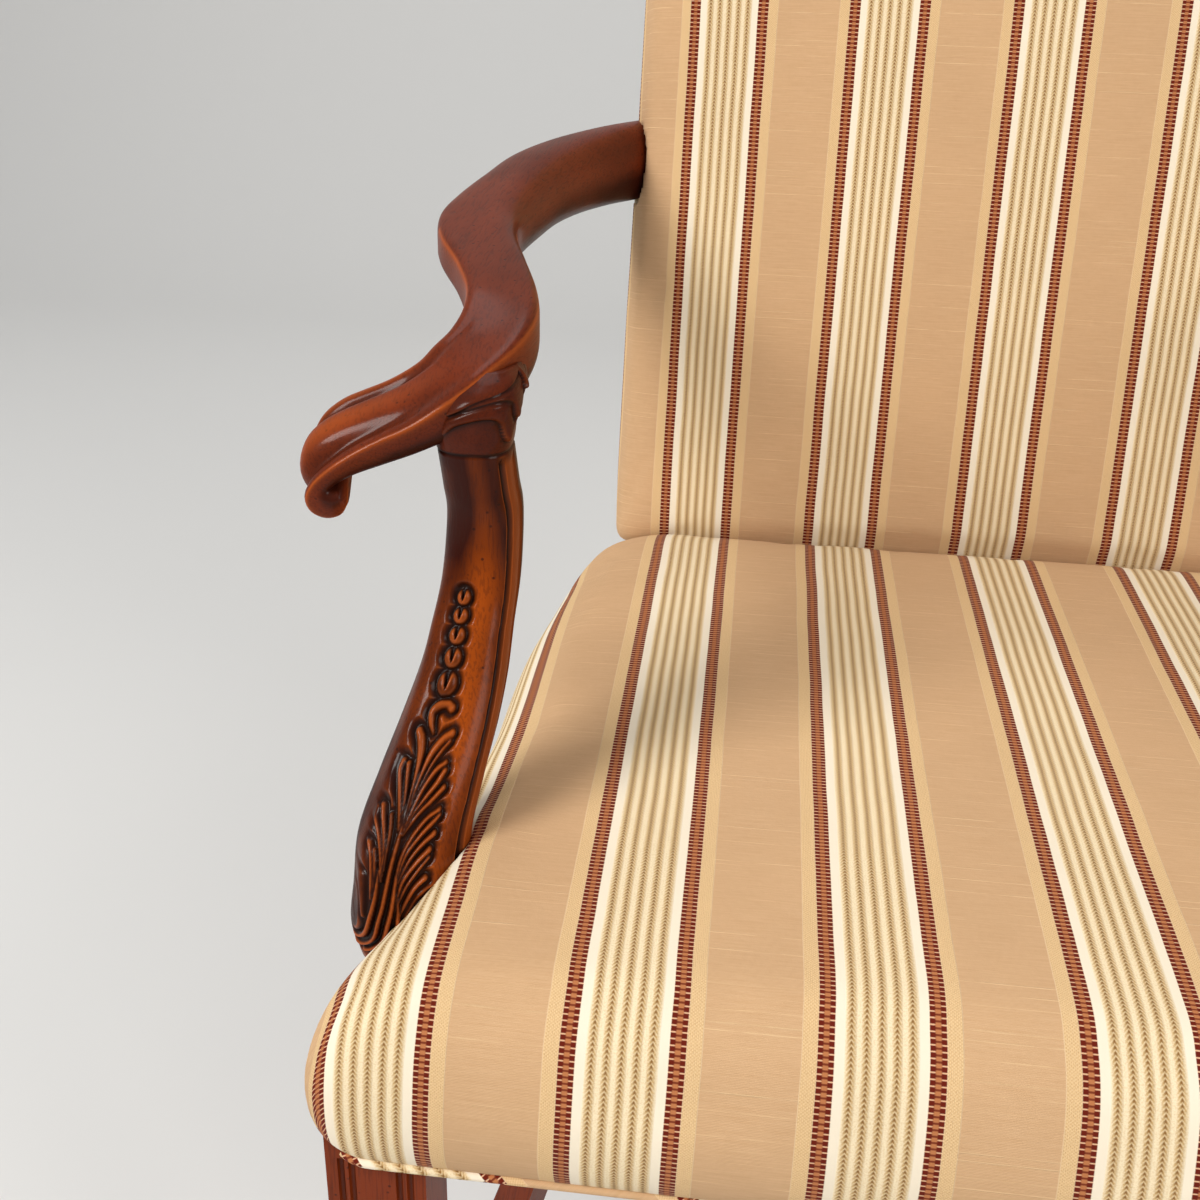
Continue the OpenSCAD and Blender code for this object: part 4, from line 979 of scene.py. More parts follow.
def quarter_curves(power, half_w, half_t, count):
    """A quarter of a superellipse for every station, from its side to its top, in even steps.
    The curve is |x / half_w| ** power + |y / half_t| ** power = 1."""
    a = np.linspace(0, math.pi / 2, 160)
    x = np.cos(a)[None] ** (2 / power[:, None]) * half_w[:, None]
    y = np.sin(a)[None] ** (2 / power[:, None]) * half_t[:, None]
    run = np.pad(np.cumsum(np.hypot(np.diff(x), np.diff(y)), axis=1), ((0, 0), (1, 0)))
    at = np.linspace(0, 1, count, endpoint=False)
    return np.stack([[np.interp(at * r[-1], r, row) for r, row in zip(run, part)] for part in (x, y)], -1)


def section_rings(half_w, half_t, powers, counts):
    """Closed sections, anticlockwise from +x: four quarters, each with its own power and count."""
    parts = []
    for k, (power, count) in enumerate(zip(powers, counts)):
        swap = k % 2 == 1
        curve = quarter_curves(power, half_t if swap else half_w, half_w if swap else half_t, count)
        sign = [(1, 1), (-1, 1), (-1, -1), (1, -1)][k]
        parts.append((curve[..., ::-1] if swap else curve) * np.array(sign))
    return np.concatenate(parts, axis=1)


def sweep(centre, across, upward, section):
    """Points of a swept stick: centre + x * across + y * upward at every station."""
    return centre[:, None] + section[..., :1] * across[:, None] + section[..., 1:] * upward[:, None]


def grid_normals(grid):
    """Outward unit normals of a closed grid (stations, sides, 3): the cross product of its two steps,
    turned to point away from each ring's middle."""
    along = np.gradient(grid, axis=0)
    around = np.roll(grid, -1, axis=1) - np.roll(grid, 1, axis=1)
    normals = unit(np.cross(along, around))
    return normals * np.sign((normals * (grid - grid.mean(1, keepdims=True))).sum((1, 2)))[:, None, None]


# %% Relief from strokes
def stroke_heights(p, q, stroke, sharp):
    """Distance field of one carved stroke. A stroke is a smooth line of (p, q, radius) rows.
    Returns how far each point lies outside the stroke, and a height that is 1 on its line and 0 at its rim:
    a rounded back for sharp = 0, a roof for sharp = 1."""
    line = smooth_rows(np.insert(np.asarray(stroke, float), 2, 0, axis=1), 5 * len(stroke))
    a, b = line[:-1], line[1:]
    leg = b[:, :2] - a[:, :2]
    length = np.maximum((leg ** 2).sum(1), 1e-9)
    t = np.clip(((p[..., None] - a[:, 0]) * leg[:, 0] + (q[..., None] - a[:, 1]) * leg[:, 1]) / length, 0, 1)
    away = np.hypot(p[..., None] - a[:, 0] - t * leg[:, 0], q[..., None] - a[:, 1] - t * leg[:, 1])
    radius = a[:, 3] + t * (b[:, 3] - a[:, 3])
    outside = away - radius
    best = outside.argmin(-1)[..., None]
    share = np.clip(np.take_along_axis(away / radius, best, -1)[..., 0], 0, 1)
    size = np.take_along_axis(radius, best, -1)[..., 0]
    height = (1 - share ** 2) ** 0.5 * (1 - sharp) + (1 - share ** 1.3) * sharp
    return outside.min(-1), height * np.clip(0.45 + 0.42 * size, 0, 1.35)


# Leaves and stems: rows are p, q and radius in millimetres, from the root to the tip.
leaf_strokes = [
    # the hooked bud below the husks
    [(-5.2, 50.5, 0.8), (-7.4, 54, 1.6), (-7.9, 57.4, 2.0),
     (-5.4, 59.6, 2.0), (-2.0, 59.9, 1.8), (0.2, 58.6, 1.9)],
    # top leaves to the right and left of the middle stems
    [(-6.4, 20, 0.8), (-5.8, 30, 1.0), (-4.9, 38, 1.3), (-3.2, 44, 1.8), (0, 48.2, 2.0), (3.3, 50.2, 1.9)],
    [(-5.4, 26, 0.6), (-3.6, 34, 0.9), (-1.8, 40, 1.1), (0.8, 44.6, 1.3), (3.4, 47.8, 1.2)],
    [(-6.8, 20, 0.8), (-7.0, 30, 0.9), (-7.4, 38, 1.3),
     (-8.2, 44, 1.9), (-9.8, 48.4, 2.1), (-11.6, 50.8, 1.8)],
    # second leaves
    [(-7.8, 20, 0.9), (-10.4, 27, 1.3), (-12.8, 33, 1.6), (-14.8, 38, 1.7), (-14.6, 41, 1.6)],
    [(-7.6, 21, 0.8), (-9.3, 30, 1.1), (-11.0, 36, 1.4), (-12.2, 40.4, 1.6)],
    [(-6.0, 18, 0.9), (-4.2, 26, 1.2), (-2.2, 33, 1.4), (0.8, 38.2, 1.6), (4.3, 40.6, 1.5)],
    [(-5.6, 18, 0.8), (-3.0, 25, 1.1), (0.2, 30, 1.4), (3.2, 34, 1.7), (5.0, 38, 1.7)],
    [(-5.0, 18, 0.8), (-1.2, 24.4, 1.3), (3.2, 28.6, 1.5), (6.8, 32.4, 1.7)],
    # third leaves
    [(-11.2, 2, 0.9), (-12.8, 11, 1.2), (-15.8, 17.5, 1.4), (-18.8, 21.5, 1.6), (-19.2, 24.6, 1.3)],
    [(-10.9, 4, 0.8), (-11.7, 12, 1.1), (-13.6, 18, 1.3), (-16, 22.8, 1.5), (-17.6, 26.2, 1.4)],
    [(-10.4, 6, 0.8), (-10.6, 14, 1.0), (-11.6, 20, 1.1), (-13.2, 24.4, 1.1)],
    [(-4.4, 2, 0.9), (-3.2, 10, 1.1), (-0.4, 17.2, 1.3), (3.6, 22.6, 1.4), (8.0, 25.2, 1.5)],
    [(-3.9, 2, 0.8), (-1.3, 11, 1.2), (2.8, 17, 1.5), (6.6, 21, 1.7), (8.8, 23.4, 1.4)],
    [(-3.4, 1, 0.9), (0.8, 9.2, 1.2), (5.0, 14.2, 1.5), (8.9, 17.2, 1.8)],
    # lowest leaves
    [(-15.6, -6, 1.0), (-15.8, 4, 1.3), (-16.8, 10, 1.5), (-18.8, 13.6, 1.5)],
    [(-14.8, -4, 0.9), (-14.4, 4, 1.1), (-14.9, 9, 1.2), (-16.2, 12.6, 1.1)],
    [(-3.6, -6, 0.9), (-1.2, 1.5, 1.3), (3.4, 7.2, 1.6), (8.6, 11.8, 1.9)],
    [(-3.0, -8, 0.8), (0.4, -1, 1.1), (5.0, 4.8, 1.3), (9.2, 9.2, 1.3)],
    [(-2.5, -14, 0.8), (1.0, -7, 1.2), (4.4, -1.8, 1.5), (8.6, 1.6, 1.8)],
    [(3.0, -16, 1.0), (7.0, -10, 1.5), (11.6, -7, 1.8)],
    # stems
    [(-6.5, 21, 1.1), (-6.7, 12, 1.3), (-8.0, 2, 1.4),
     (-10.0, -9, 1.5), (-12.6, -20, 1.6), (-14.6, -34, 1.6)],
    [(-12.4, 6, 1.0), (-13.4, -4, 1.4), (-15.4, -14, 1.6), (-18.2, -25, 1.7), (-20.2, -34, 1.7)],
    [(-4.3, 4, 1.0), (-4.9, -4, 1.5), (-6.0, -12, 1.7), (-8.4, -22, 1.7), (-9.6, -34, 1.7)],
    [(-3.4, -4, 0.9), (-2.6, -14, 1.5), (-3.6, -24, 1.6), (-4.4, -34, 1.6)],
    [(2.0, -18, 1.2), (1.6, -26, 1.5), (1.4, -34, 1.5)],
    # scrolls at the outer edge
    [(-19.2, -16, 1.0), (-19.8, -8, 1.5), (-20.6, -3, 2.1), (-21.4, 0.6, 2.4)],
    [(-24.0, -27, 1.3), (-25.0, -18, 1.5), (-24.6, -11.5, 1.6), (-22.4, -8.6, 1.6),
     (-20.9, -12, 1.5), (-20.7, -20, 1.5), (-22.0, -28, 1.4)],
]
full_backed = (0, 1, 3)  # the bud and the two topmost leaves have rounder backs than the rest
# Rows of a husk: its middle's p and q, and its half-sizes.
husks = [(-4.3, 98.7, 3.3, 3.7), (-4.4, 91.4, 3.6, 3.6), (-4.3, 83.9, 3.9, 3.7),
         (-4.4, 75.9, 4.2, 4.1), (-4.7, 66.8, 4.9, 4.8)]
ground_depth, stroke_rise, far_off = 1.9, 2.4, 99.0
round_backed, sharp_backed = 0.15, 0.55


def husk_heights(p, q, centre_p, centre_q, half_p, half_q):
    """One husk: a ball flattened to a shell, split from its top by a notch shaped like a V."""
    share = np.hypot((p - centre_p) / half_p, (q - centre_q) / half_q)
    shell = np.clip(1 - share ** 2.4, 0, 1) ** 0.5
    down = np.clip((q - centre_q) / half_q + 0.55, 0, 1.6)
    beside = np.abs(p - centre_p + 0.1 * half_p) / (0.25 + 0.3 * down * half_p)
    notch = smoothstep(0.0, 0.5, down) * np.clip(1 - beside, 0, 1)
    return (share - 1) * min(half_p, half_q), shell * (1.3 - 1.15 * notch)


def support_relief(p, q):
    """Height of the carved front in millimetres, and how far the ground is cut back at each point: 1 under
    the strokes and close beside them, falling to 0 at 3.4 mm from the nearest stroke."""
    outside, top = np.full(p.shape, far_off), np.zeros(p.shape)
    carved = (np.abs(p) < 32) & (q < 110)
    pc, qc = p[carved], q[carved]
    cuts = [stroke_heights(pc, qc, stroke, round_backed if number in full_backed else sharp_backed)
            for number, stroke in enumerate(leaf_strokes)]
    cuts += [husk_heights(pc, qc, *husk) for husk in husks]
    outside[carved] = np.minimum(far_off, np.min([away for away, _ in cuts], axis=0))
    top[carved] = np.maximum(0, np.max([height for _, height in cuts], axis=0))
    sunk = 1 - smoothstep(0.3, 3.4, outside)
    return -ground_depth * sunk + stroke_rise * top, sunk


# %% The support's stick
# x, y from the crease, z from the crown, half-width, half-thickness in front and behind, turn in degrees,
# and powers of the outer and the inner front corner.
joint_row = (-282.3, -319, 164.6, 16.2, 17)  # the end at the arm, where the boss takes over
support_rows = [
    (*joint_row, 17, 0, 2.5, 2.5), (-280.4, -317, 146, 16.2, 17, 17, 0, 2.5, 2.5),
    (-279, -315.5, 131, 16.5, 17, 17, 0, 2.6, 2.5), (-280, -320, 103, 17.3, 17.3, 17, 0, 2.8, 2.4),
    (-282.5, -330, 81.7, 18.5, 18, 17, 4, 3.0, 2.3), (-284.8, -340.2, 63.7, 20, 18.5, 17, 8, 3.3, 2.2),
    (-288.9, -353.5, 44.5, 22, 19.5, 16.5, 13, 3.7, 2.15),
    (-294.2, -367.6, 24.4, 23.8, 21.5, 16, 18, 4.0, 2.1),
    (-299, -380.7, 4, 25.5, 23, 15.5, 22, 4.0, 2.05), (-299.6, -389, -18, 26, 24, 15, 24, 3.8, 2.05),
    (-300, -390.4, -30, 27, 23.5, 15, 24, 3.4, 2.1),
    # The foot's outer side runs on down past the rail as a small rounded toe.
    (-304, -392, -37, 23, 22, 15, 24, 3.0, 2.4), (-310, -394.7, -43, 15, 20, 14, 24, 2.8, 2.6),
    (-314.6, -396.7, -48, 9, 17, 13, 24, 2.6, 2.6), (-316.4, -397.5, -51, 6, 14, 11, 24, 2.5, 2.5)]
support_line = smooth_rows(support_rows, 470)
half_w, turned = support_line[:, 3], np.radians(support_line[:, 6])
no_rise, rear_power = np.zeros(len(turned)), np.full(len(turned), 3.0)
count_front, count_rear = 84, 13
# The section's x points outwards from the seat and its y forwards, so the front is the upper half.
powers = [support_line[:, 7], support_line[:, 8], rear_power, rear_power]
counts = [count_front, count_front, count_rear, count_rear]
front, behind = (section_rings(half_w, half_t, powers, counts) for half_t in support_line[:, 4:6].T)
section = np.concatenate([front[:, :2 * count_front], behind[:, 2 * count_front:]], axis=1)
outwards = np.stack([-np.cos(turned), -np.sin(turned), no_rise], -1)
forwards = np.stack([np.sin(turned), -np.cos(turned), no_rise], -1)
stick = sweep(support_line[:, :3], outwards, forwards, section)
normals = grid_normals(stick)
print("Support's plain stick:", stick.shape, "points")

# %% The carving laid on the stick
# The pattern is laid out on a plane turned 15 degrees towards the seat and thrown onto the stick along
# that plane's normal. p runs towards the seat from the pattern's middle line, and q is the height
# above the crown, stretched below the husks because the stick slopes there.
pattern_turn = math.radians(15)
pattern_way = np.array([math.cos(pattern_turn), math.sin(pattern_turn)])
pattern_front = np.array([math.sin(pattern_turn), -math.cos(pattern_turn)])
pattern_offset, pattern_half, pattern_scale, wrap = 4.4, 25.5, 0.966, 2.2
s = ((stick[..., :2] - support_line[:, None, :2]) * pattern_way).sum(-1) + pattern_offset
bend_share = s / pattern_half
p = s / pattern_scale - wrap * bend_share * np.abs(bend_share) ** 3 * np.where(bend_share < 0, -0.6, 1.0)
q = np.repeat(support_line[:, 2:3], section.shape[1], axis=1)
q = q + 6 * np.clip((85 - q) / 88, 0, 1)
on_front = smoothstep(0.05, 0.4, (normals[..., :2] * pattern_front).sum(-1))
relief, sunk = (part * on_front for part in support_relief(p, q))
# The groove and the thin strip beyond it run along the inner edge of the front half.
share = (p - 0.5) / half_w[:, None]
groove_at, groove_half, groove_depth, strip_depth = 0.86, 1.7, 2.6, 0.7
upper = section[..., 1] > 0
groove = np.clip(1 - np.abs(share - groove_at) * half_w[:, None] / groove_half, 0, 1) ** 0.6 * upper
strip = smoothstep(groove_at, groove_at + 0.05, share) * upper
fade_top = smoothstep(163, 157, q)
ring_line = np.exp(-((q - 163.8) / 0.7) ** 2)
height = relief - (groove_depth * groove + strip_depth * strip) * fade_top - 0.7 * ring_line
stick = stick + normals * height[..., None]
print("Relief from", round(float(height.min()), 2), "to", round(float(height.max()), 2), "mm")


# %% Glaze, wear, and painted light and shade from the carving
def softened(values, rounds):
    """Values averaged with their neighbours on the grid, again and again."""
    for _ in range(rounds):
        padded = np.pad(values, ((1, 1), (0, 0)), mode="edge")
        values = (padded[:-2] + padded[2:] + np.roll(values, 1, 1) + np.roll(values, -1, 1) + 2 * values) / 6
    return values


# How far each point stands proud of the ground around it: hollows hold glaze, and high edges are rubbed.
proud = height - softened(height, 14)
glaze = smoothstep(0.05, 0.5, -proud) * 0.9 + 0.75 * sunk * (relief < 0.1)
glaze = glaze + groove * fade_top + 0.8 * ring_line
glaze = np.clip(softened(np.clip(glaze, 0, 1), 2), 0, 1) * 0.93
# Besides the rubbed high spots, the strip beyond the groove gets a painted highlight, for the light caught on
# the groove's far wall.
wear = smoothstep(0.12, 0.55, proud) * 0.85 + 0.5 * strip * fade_top * (share > 0.9)
# Painted light and shade: a painted glow down the middle of the front, where the light falls, and painted
# shade towards its sides, up towards the arm, beside the carved ground and on the back half.
painted_centre_light = np.exp(-((share - 0.15) / 0.55) ** 2)
tone = 0.85 - 0.85 * painted_centre_light + 0.75 * smoothstep(96, 148, q) + 0.5 * softened(sunk, 8)
tone = np.clip(tone + 0.25 * (section[..., 1] < 0), 0, 1)


# %% Close the support and set both in place
def closed_stick(name, grid, material, values, flip=False):
    """A swept grid closed at both ends with a fan. flip mirrors it to the right side of the chair."""
    count, sides = grid.shape[:2]
    points = np.concatenate([grid.reshape(-1, 3), grid[:1].mean(1), grid[-1:].mean(1)])
    points = points * mm + np.array([0, crease_y, seat_h])
    columns = {key: np.concatenate([value.ravel(), value[[0, -1]].mean(1)]) for key, value in values.items()}
    faces, ends = grid_faces(count, sides, True)[:, ::-1], end_fans(count, sides, True)
    if flip:
        points, faces, ends = mirrored(points), faces[:, ::-1], ends[:, ::-1]
    return make_piece(name, points, faces.tolist() + ends.tolist(), material, values=columns)


carved_values = {"glaze": glaze, "wear": np.clip(wear, 0, 1), "tone": tone}
for node, flip in (("arm_support_left", False), ("arm_support_right", True)):
    piece = closed_stick("carved_" + node, stick, upright_wood, carved_values, flip)
    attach(piece, "root")
    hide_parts(node)
print("Carved supports:", stick.shape, "points each")

# %% [markdown]
# ## Arms
# An arm leaves the post almost round, bows outwards to an elbow, and comes in again over its support.
# From the elbow on, its top is flat with crisp edges. Past the support it turns outwards into a hand-hold
# that is rolled forward. Two flutes divide its top into three ridges, which run over the nose and curl
# under into a small volute. Every station of the sweep has an outer point, on top, and an inner point, below.
# Round the volute the inner points stay together at its eye, so the sections open like a fan.

# %% Stations of the left arm
def hand(s, z):
    """A point of the hand-hold's middle, s millimetres out from the support, in the chair's plan."""
    return (-288 - 0.985 * s, -310 - 0.174 * s, z)


# x, y from the crease and z from the crown of the outer point; the same of the inner point; half-width;
# roll and heading in degrees; powers of the section at its outer top, inner top and inner bottom corners;
# depths of the far and near flutes; and how far the middle ridge stands up.
arm_rows = [
    (-226, 113, 243, -226, 113, 194.5, 17, 0, 40, 2.4, 2.4, 2.4, 0, 0, 0),
    (-240, 96, 243.5, -240, 96, 194.5, 17.5, 0, 37, 2.4, 2.4, 2.4, 0, 0, 0),
    (-257.5, 71, 243.5, -257.5, 71, 194.5, 18.5, 0, 32, 2.4, 2.4, 2.4, 0, 0, 0),
    (-272.5, 45, 243, -272.5, 45, 195.5, 20, 0, 26, 2.4, 2.4, 2.4, 0, 0, 0),
    (-289.5, 5, 242, -289.5, 5, 196.5, 21.5, 0, 19, 2.5, 2.4, 2.4, 0, 0, 0),
    (-301.5, -37, 240, -301.5, -37, 196.5, 22, 0, 12, 2.7, 2.4, 2.4, 0, 0, 0),
    (-308.5, -80, 236, -308.5, -80, 195, 21.6, 0, 8, 3.0, 2.5, 2.4, 0, 0, 0),
    (-312.5, -120, 231.5, -312.5, -120, 194.5, 21.4, 0, 2, 4.5, 2.7, 2.4, 0, 0, 0),
    (-312.5, -152, 228, -312.5, -152, 195, 21.2, 0, -7, 7.0, 3.2, 2.4, 0, 0, 0),
    (-306.5, -182, 224.5, -306.5, -182, 194, 20, 0, -18, 8.5, 4.5, 2.3, 0, 0, 0),
    (-294, -216, 220.5, -294, -216, 190, 17.5, 0, -23, 8.5, 6.5, 2.2, 0, 0, 0),
    (-283.5, -248, 216, -283.5, -248, 183.5, 16.6, 0, -14, 8.5, 8.0, 2.1, 0, 0, 0),
    (-280, -272, 211, -280, -272, 177.5, 18.2, -0.5, 8, 7.5, 8.5, 2.1, 0.1, 0, 0),
    (-283.5, -291, 205, -283.5, -291, 173, 20.5, -1, 28, 6.0, 8.5, 2.4, 0.4, 0, 0)]
arm_rows += [outer + inner + rest for outer, inner, rest in [
    ((-292, -306, 198.5), (-292, -306, 171), (23.4, 0, 46, 5.4, 8.5, 3.4, 1.0, 0.2, 0.0)),
    (hand(14, 191), hand(13.5, 169), (24.6, 6, 62, 4.6, 8.5, 4.5, 2.0, 0.8, 0.4)),
    (hand(26, 183), hand(24.5, 166), (25, 13, 74, 4.0, 8.5, 5.5, 3.2, 1.8, 1.0)),
    (hand(36, 178), hand(34, 162.8), (25, 15, 79, 3.6, 8.5, 5.5, 3.8, 2.8, 1.6)),
    (hand(46, 173.2), hand(44, 160), (25, 17, 80, 3.4, 8.5, 5.5, 4.0, 3.2, 2.2)),
    (hand(54, 168.8), hand(50.5, 158), (25, 19, 80, 3.3, 8.5, 5.5, 4.0, 3.4, 3.0)),
    (hand(61, 163.6), hand(54.5, 156.3), (25, 20, 80, 3.2, 8.0, 5.5, 3.9, 3.4, 4.0)),
    (hand(66.5, 157.6), hand(57, 155), (25, 20, 80, 3.2, 7.5, 5.5, 3.7, 3.2, 4.4)),
    (hand(69.8, 150), hand(57.2, 154.7), (25, 20, 80, 3.2, 7.0, 5.5, 3.2, 2.6, 3.6)),
    (hand(67.6, 142.8), hand(57, 154.3), (25, 20, 80, 3.2, 6.5, 5.5, 2.4, 1.6, 2.2)),
    (hand(60.8, 139.3), hand(56.4, 154), (25, 20, 80, 3.2, 6.0, 5.5, 1.4, 0.7, 1.0)),
    (hand(53.8, 141.4), hand(55.7, 154), (25, 20, 80, 3.2, 6.0, 5.5, 0.6, 0.0, 0.3)),
    (hand(50.3, 147.6), hand(55, 154.2), (25, 20, 80, 3.2, 6.0, 5.5, 0.0, 0.0, 0.0))]]
stations = 300
line = smooth_rows(arm_rows, stations)
outer, inner = line[:, :3], line[:, 3:6]
half_w, roll_at, heading = line[:, 6], np.radians(line[:, 7]), np.radians(line[:, 8])
upward = unit(outer - inner)
half_t = np.linalg.norm(outer - inner, axis=1) / 2
level = np.stack([-np.cos(heading), np.sin(heading), np.zeros(stations)], -1)
heading_way = np.stack([-np.sin(heading), -np.cos(heading), np.zeros(stations)], -1)
# The roll leans the upright and the level axis about the heading, and the sections stay square to both.
across = level * np.cos(roll_at)[:, None] + up * np.sin(roll_at)[:, None]
leaning = up * np.cos(roll_at)[:, None] - level * np.sin(roll_at)[:, None]
upward = (upward * heading_way).sum(1, keepdims=True) * heading_way + upward[:, 2:] * leaning
# The outer corner of the underside is thinned away at the waist, and comes back on both sides of it.
waist_y = -190
outer_bottom = 1.5 + 0.9 * smoothstep(40, 90, np.abs(outer[:, 1] - waist_y))
powers = [line[:, 9], line[:, 10], line[:, 11], outer_bottom]
section = section_rings(half_w, half_t, powers, [40, 40, 20, 20])

# %% Ridges and flutes, and the arm's grid
far_depth, near_depth, ridge_rise = line[:, 12:13], line[:, 13:14], line[:, 14:15]
post_face = -237.7  # the arm's end is cut off flat where it meets the post
u = section[..., 0] / half_w[:, None]
v = section[..., 1] / half_t[:, None]
on_top = smoothstep(0.15, 0.75, v)
far_flute = np.exp(-((u - 0.55) / 0.13) ** 2)
near_flute = np.exp(-((u + 0.55) / 0.19) ** 2)
ridge = np.clip(1 - ((u - 0.02) / 0.5) ** 2, 0, 1) ** 0.8
lift = on_top * (ridge_rise * ridge - far_depth * far_flute - near_depth * near_flute)
arm_grid = sweep((outer + inner) / 2, across, upward, section + np.stack([np.zeros_like(lift), lift], -1))
arm_grid[..., 0] = np.minimum(arm_grid[..., 0], post_face)
edge = np.clip(1 - np.abs(np.abs(u) - 0.965) / 0.04, 0, 1) * on_top * (line[:, 10:11] > 4)
crest = on_top * ridge ** 4 * np.clip(ridge_rise / 3, 0, 1)
# The flutes' shares: 1 where they are cut to 3 mm or deeper.
far_share, near_share = np.clip(far_depth / 3, 0, 1), np.clip(near_depth / 3, 0, 1)
far_ridge = np.exp(-((u - 0.85) / 0.12) ** 2)
arm_wear = np.clip(0.75 * edge + 0.45 * crest + 0.5 * on_top * far_ridge * far_share, 0, 1)
arm_glaze = np.clip(on_top * (0.62 * far_flute * far_share + 0.5 * near_flute * near_share), 0, 1)
eye = smoothstep(11, 3, np.linalg.norm(arm_grid - inner[-1], axis=-1)) * (np.abs(u) < 0.9)
arm_glaze = np.clip(arm_glaze + 0.7 * eye, 0, 1)
# Painted light and shade on the arm: lighter on the crests and crisp top edges, and painted shade on the
# underside.
arm_painted_shading = np.clip(0.4 - 0.35 * crest - 0.2 * edge + 0.6 * smoothstep(0.2, -0.5, v), 0, 1)
print("Arm grid:", arm_grid.shape)

# %% [markdown]
# ## The carved boss under each arm
# Between the support and the arm's flat top, the wood swells into a boss cut as three overlapping leaves.
# Each leaf's lower edge stands out over the next one, with a dark line of painted shadow laid just below it.
# Its tip turns out on the inner side. The boss is a loft round an upright line, and a leaf's edge is a height
# that depends on the angle round that line.

# %% Boss
boss_rows = smooth_rows([joint_row, (-282, -318.8, 169, 16.6, 17.8), (-282, -318, 175, 17.2, 18.6),
                         (-280.5, -316.5, 181, 16.6, 20.6), (-277.5, -313, 188, 14.6, 22.4),
                         (-275, -308, 193, 11, 21), (-275, -305, 196.5, 7.5, 17)], 130)
boss_x, boss_y, boss_z, boss_half_x, boss_half_y = np.split(boss_rows, 5, axis=1)
sides, power = 168, 2.7
turn_at = np.linspace(0, 2 * math.pi, sides, endpoint=False)[None]
round_x, round_y = np.abs(np.cos(turn_at) / boss_half_x), np.abs(np.sin(turn_at) / boss_half_y)
radius = (round_x ** power + round_y ** power) ** (-1 / power)
boss_z = np.repeat(boss_z, sides, axis=1)
degrees = (np.degrees(turn_at) + 180) % 360 - 180 + np.zeros_like(boss_z)
swell, dark = np.zeros_like(boss_z), np.zeros_like(boss_z)
# Per leaf: the angles and heights that its lower edge runs through, and the angle of its tip.
boss_leaves = [
    ([(-180, 168), (-130, 171), (-104, 177.4), (-74, 180.8), (-54, 178.5), (-38, 169.5),
      (-20, 174), (0, 177), (60, 179), (180, 168)], -38),
    ([(-180, 170), (-142, 174), (-117, 181), (-74, 188), (-44, 186), (-24, 178.5),
      (-6, 183.5), (20, 186), (60, 187), (180, 170)], -24),
    ([(-180, 176), (-120, 181), (-92, 188), (-67, 191.5), (-41, 193.6), (-18, 193.8),
      (-3, 187.5), (14, 192), (40, 195), (90, 196), (180, 176)], -3)]
fade = smoothstep(-148, -108, degrees) * smoothstep(110, 60, degrees)
for edge_rows, tip in boss_leaves:
    at, level_z = smooth_rows(np.insert(np.array(edge_rows, dtype=float), 2, 0, axis=1), 200)[:, :2].T
    edge_z = np.interp(degrees, at, level_z)
    above = boss_z - edge_z
    tip_out = np.exp(-((degrees - tip) / 10) ** 2)
    on_leaf = np.clip(above, 0, None)
    lip = (1 - np.exp(-on_leaf / 0.7)) * np.exp(-on_leaf / 6.5)
    leaf = lip * (1.7 + 2.6 * tip_out)
    swell = np.maximum(swell, leaf * fade) - 0.8 * fade * np.exp(-((above + 0.9) / 0.8) ** 2)
    # dark is a painted shadow under each leaf's lower edge, strongest at the edge and fading over about a
    # millimetre below it.
    dark = np.maximum(dark, fade * np.where(above < 0, np.exp(above / 1.3), np.clip(1 - above / 0.4, 0, 1)))
radius = radius + swell
boss_grid = np.stack([boss_x + radius * np.cos(turn_at), boss_y + radius * np.sin(turn_at), boss_z], -1)
# The boss's glaze: the painted shadow under the leaves, and a dark joint line at its foot.
boss_glaze_and_shadow = np.clip(0.9 * dark + 0.7 * smoothstep(165.6, 164.8, boss_z), 0, 1)
boss_wear = np.clip(0.35 * (swell - softened(swell, 6)), 0, 0.7)
# The boss gets painted shade all over, and more in the painted shadow under each leaf.
boss_values = {"glaze": boss_glaze_and_shadow, "wear": boss_wear, "tone": 0.75 + 0.25 * dark}
arm_values = {"glaze": arm_glaze, "wear": arm_wear, "tone": arm_painted_shading}
print("Boss grid:", boss_grid.shape)


# %% Join each arm with its boss
def joined(first, second, name, node):
    """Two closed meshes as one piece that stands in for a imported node."""
    with bpy.context.temp_override(active_object=first, selected_editable_objects=[first, second]):
        bpy.ops.object.join()
    first.name = name
    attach(first, "root")
    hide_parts(node)


for node, flip in (("arm_left", False), ("arm_right", True)):
    arm = closed_stick("arm", arm_grid, arm_wood, arm_values, flip)
    # The boss's rows climb, so they are put in reverse order to make its faces point outwards.
    turned_values = {key: value[::-1] for key, value in boss_values.items()}
    boss = closed_stick("boss", boss_grid[::-1], arm_wood, turned_values, flip)
    joined(arm, boss, "carved_" + node, node)
print("Two arms are joined with their bosses")

# %% [markdown]
# ## Everything else
# Three things are left: the outside back, the dust cover, and the finishes of the plain sticks, which keep
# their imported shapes.

# %% [markdown]
# ### The outside back
# The back is closed behind by a panel of the same striped cloth over a thin layer of wadding. It is one
# more padded drum, laid in the back's leaning frame. Below the seat the cloth goes on as an apron: it bends
# at the knee of the posts and hangs upright behind the rear rail, down to its lower edge.

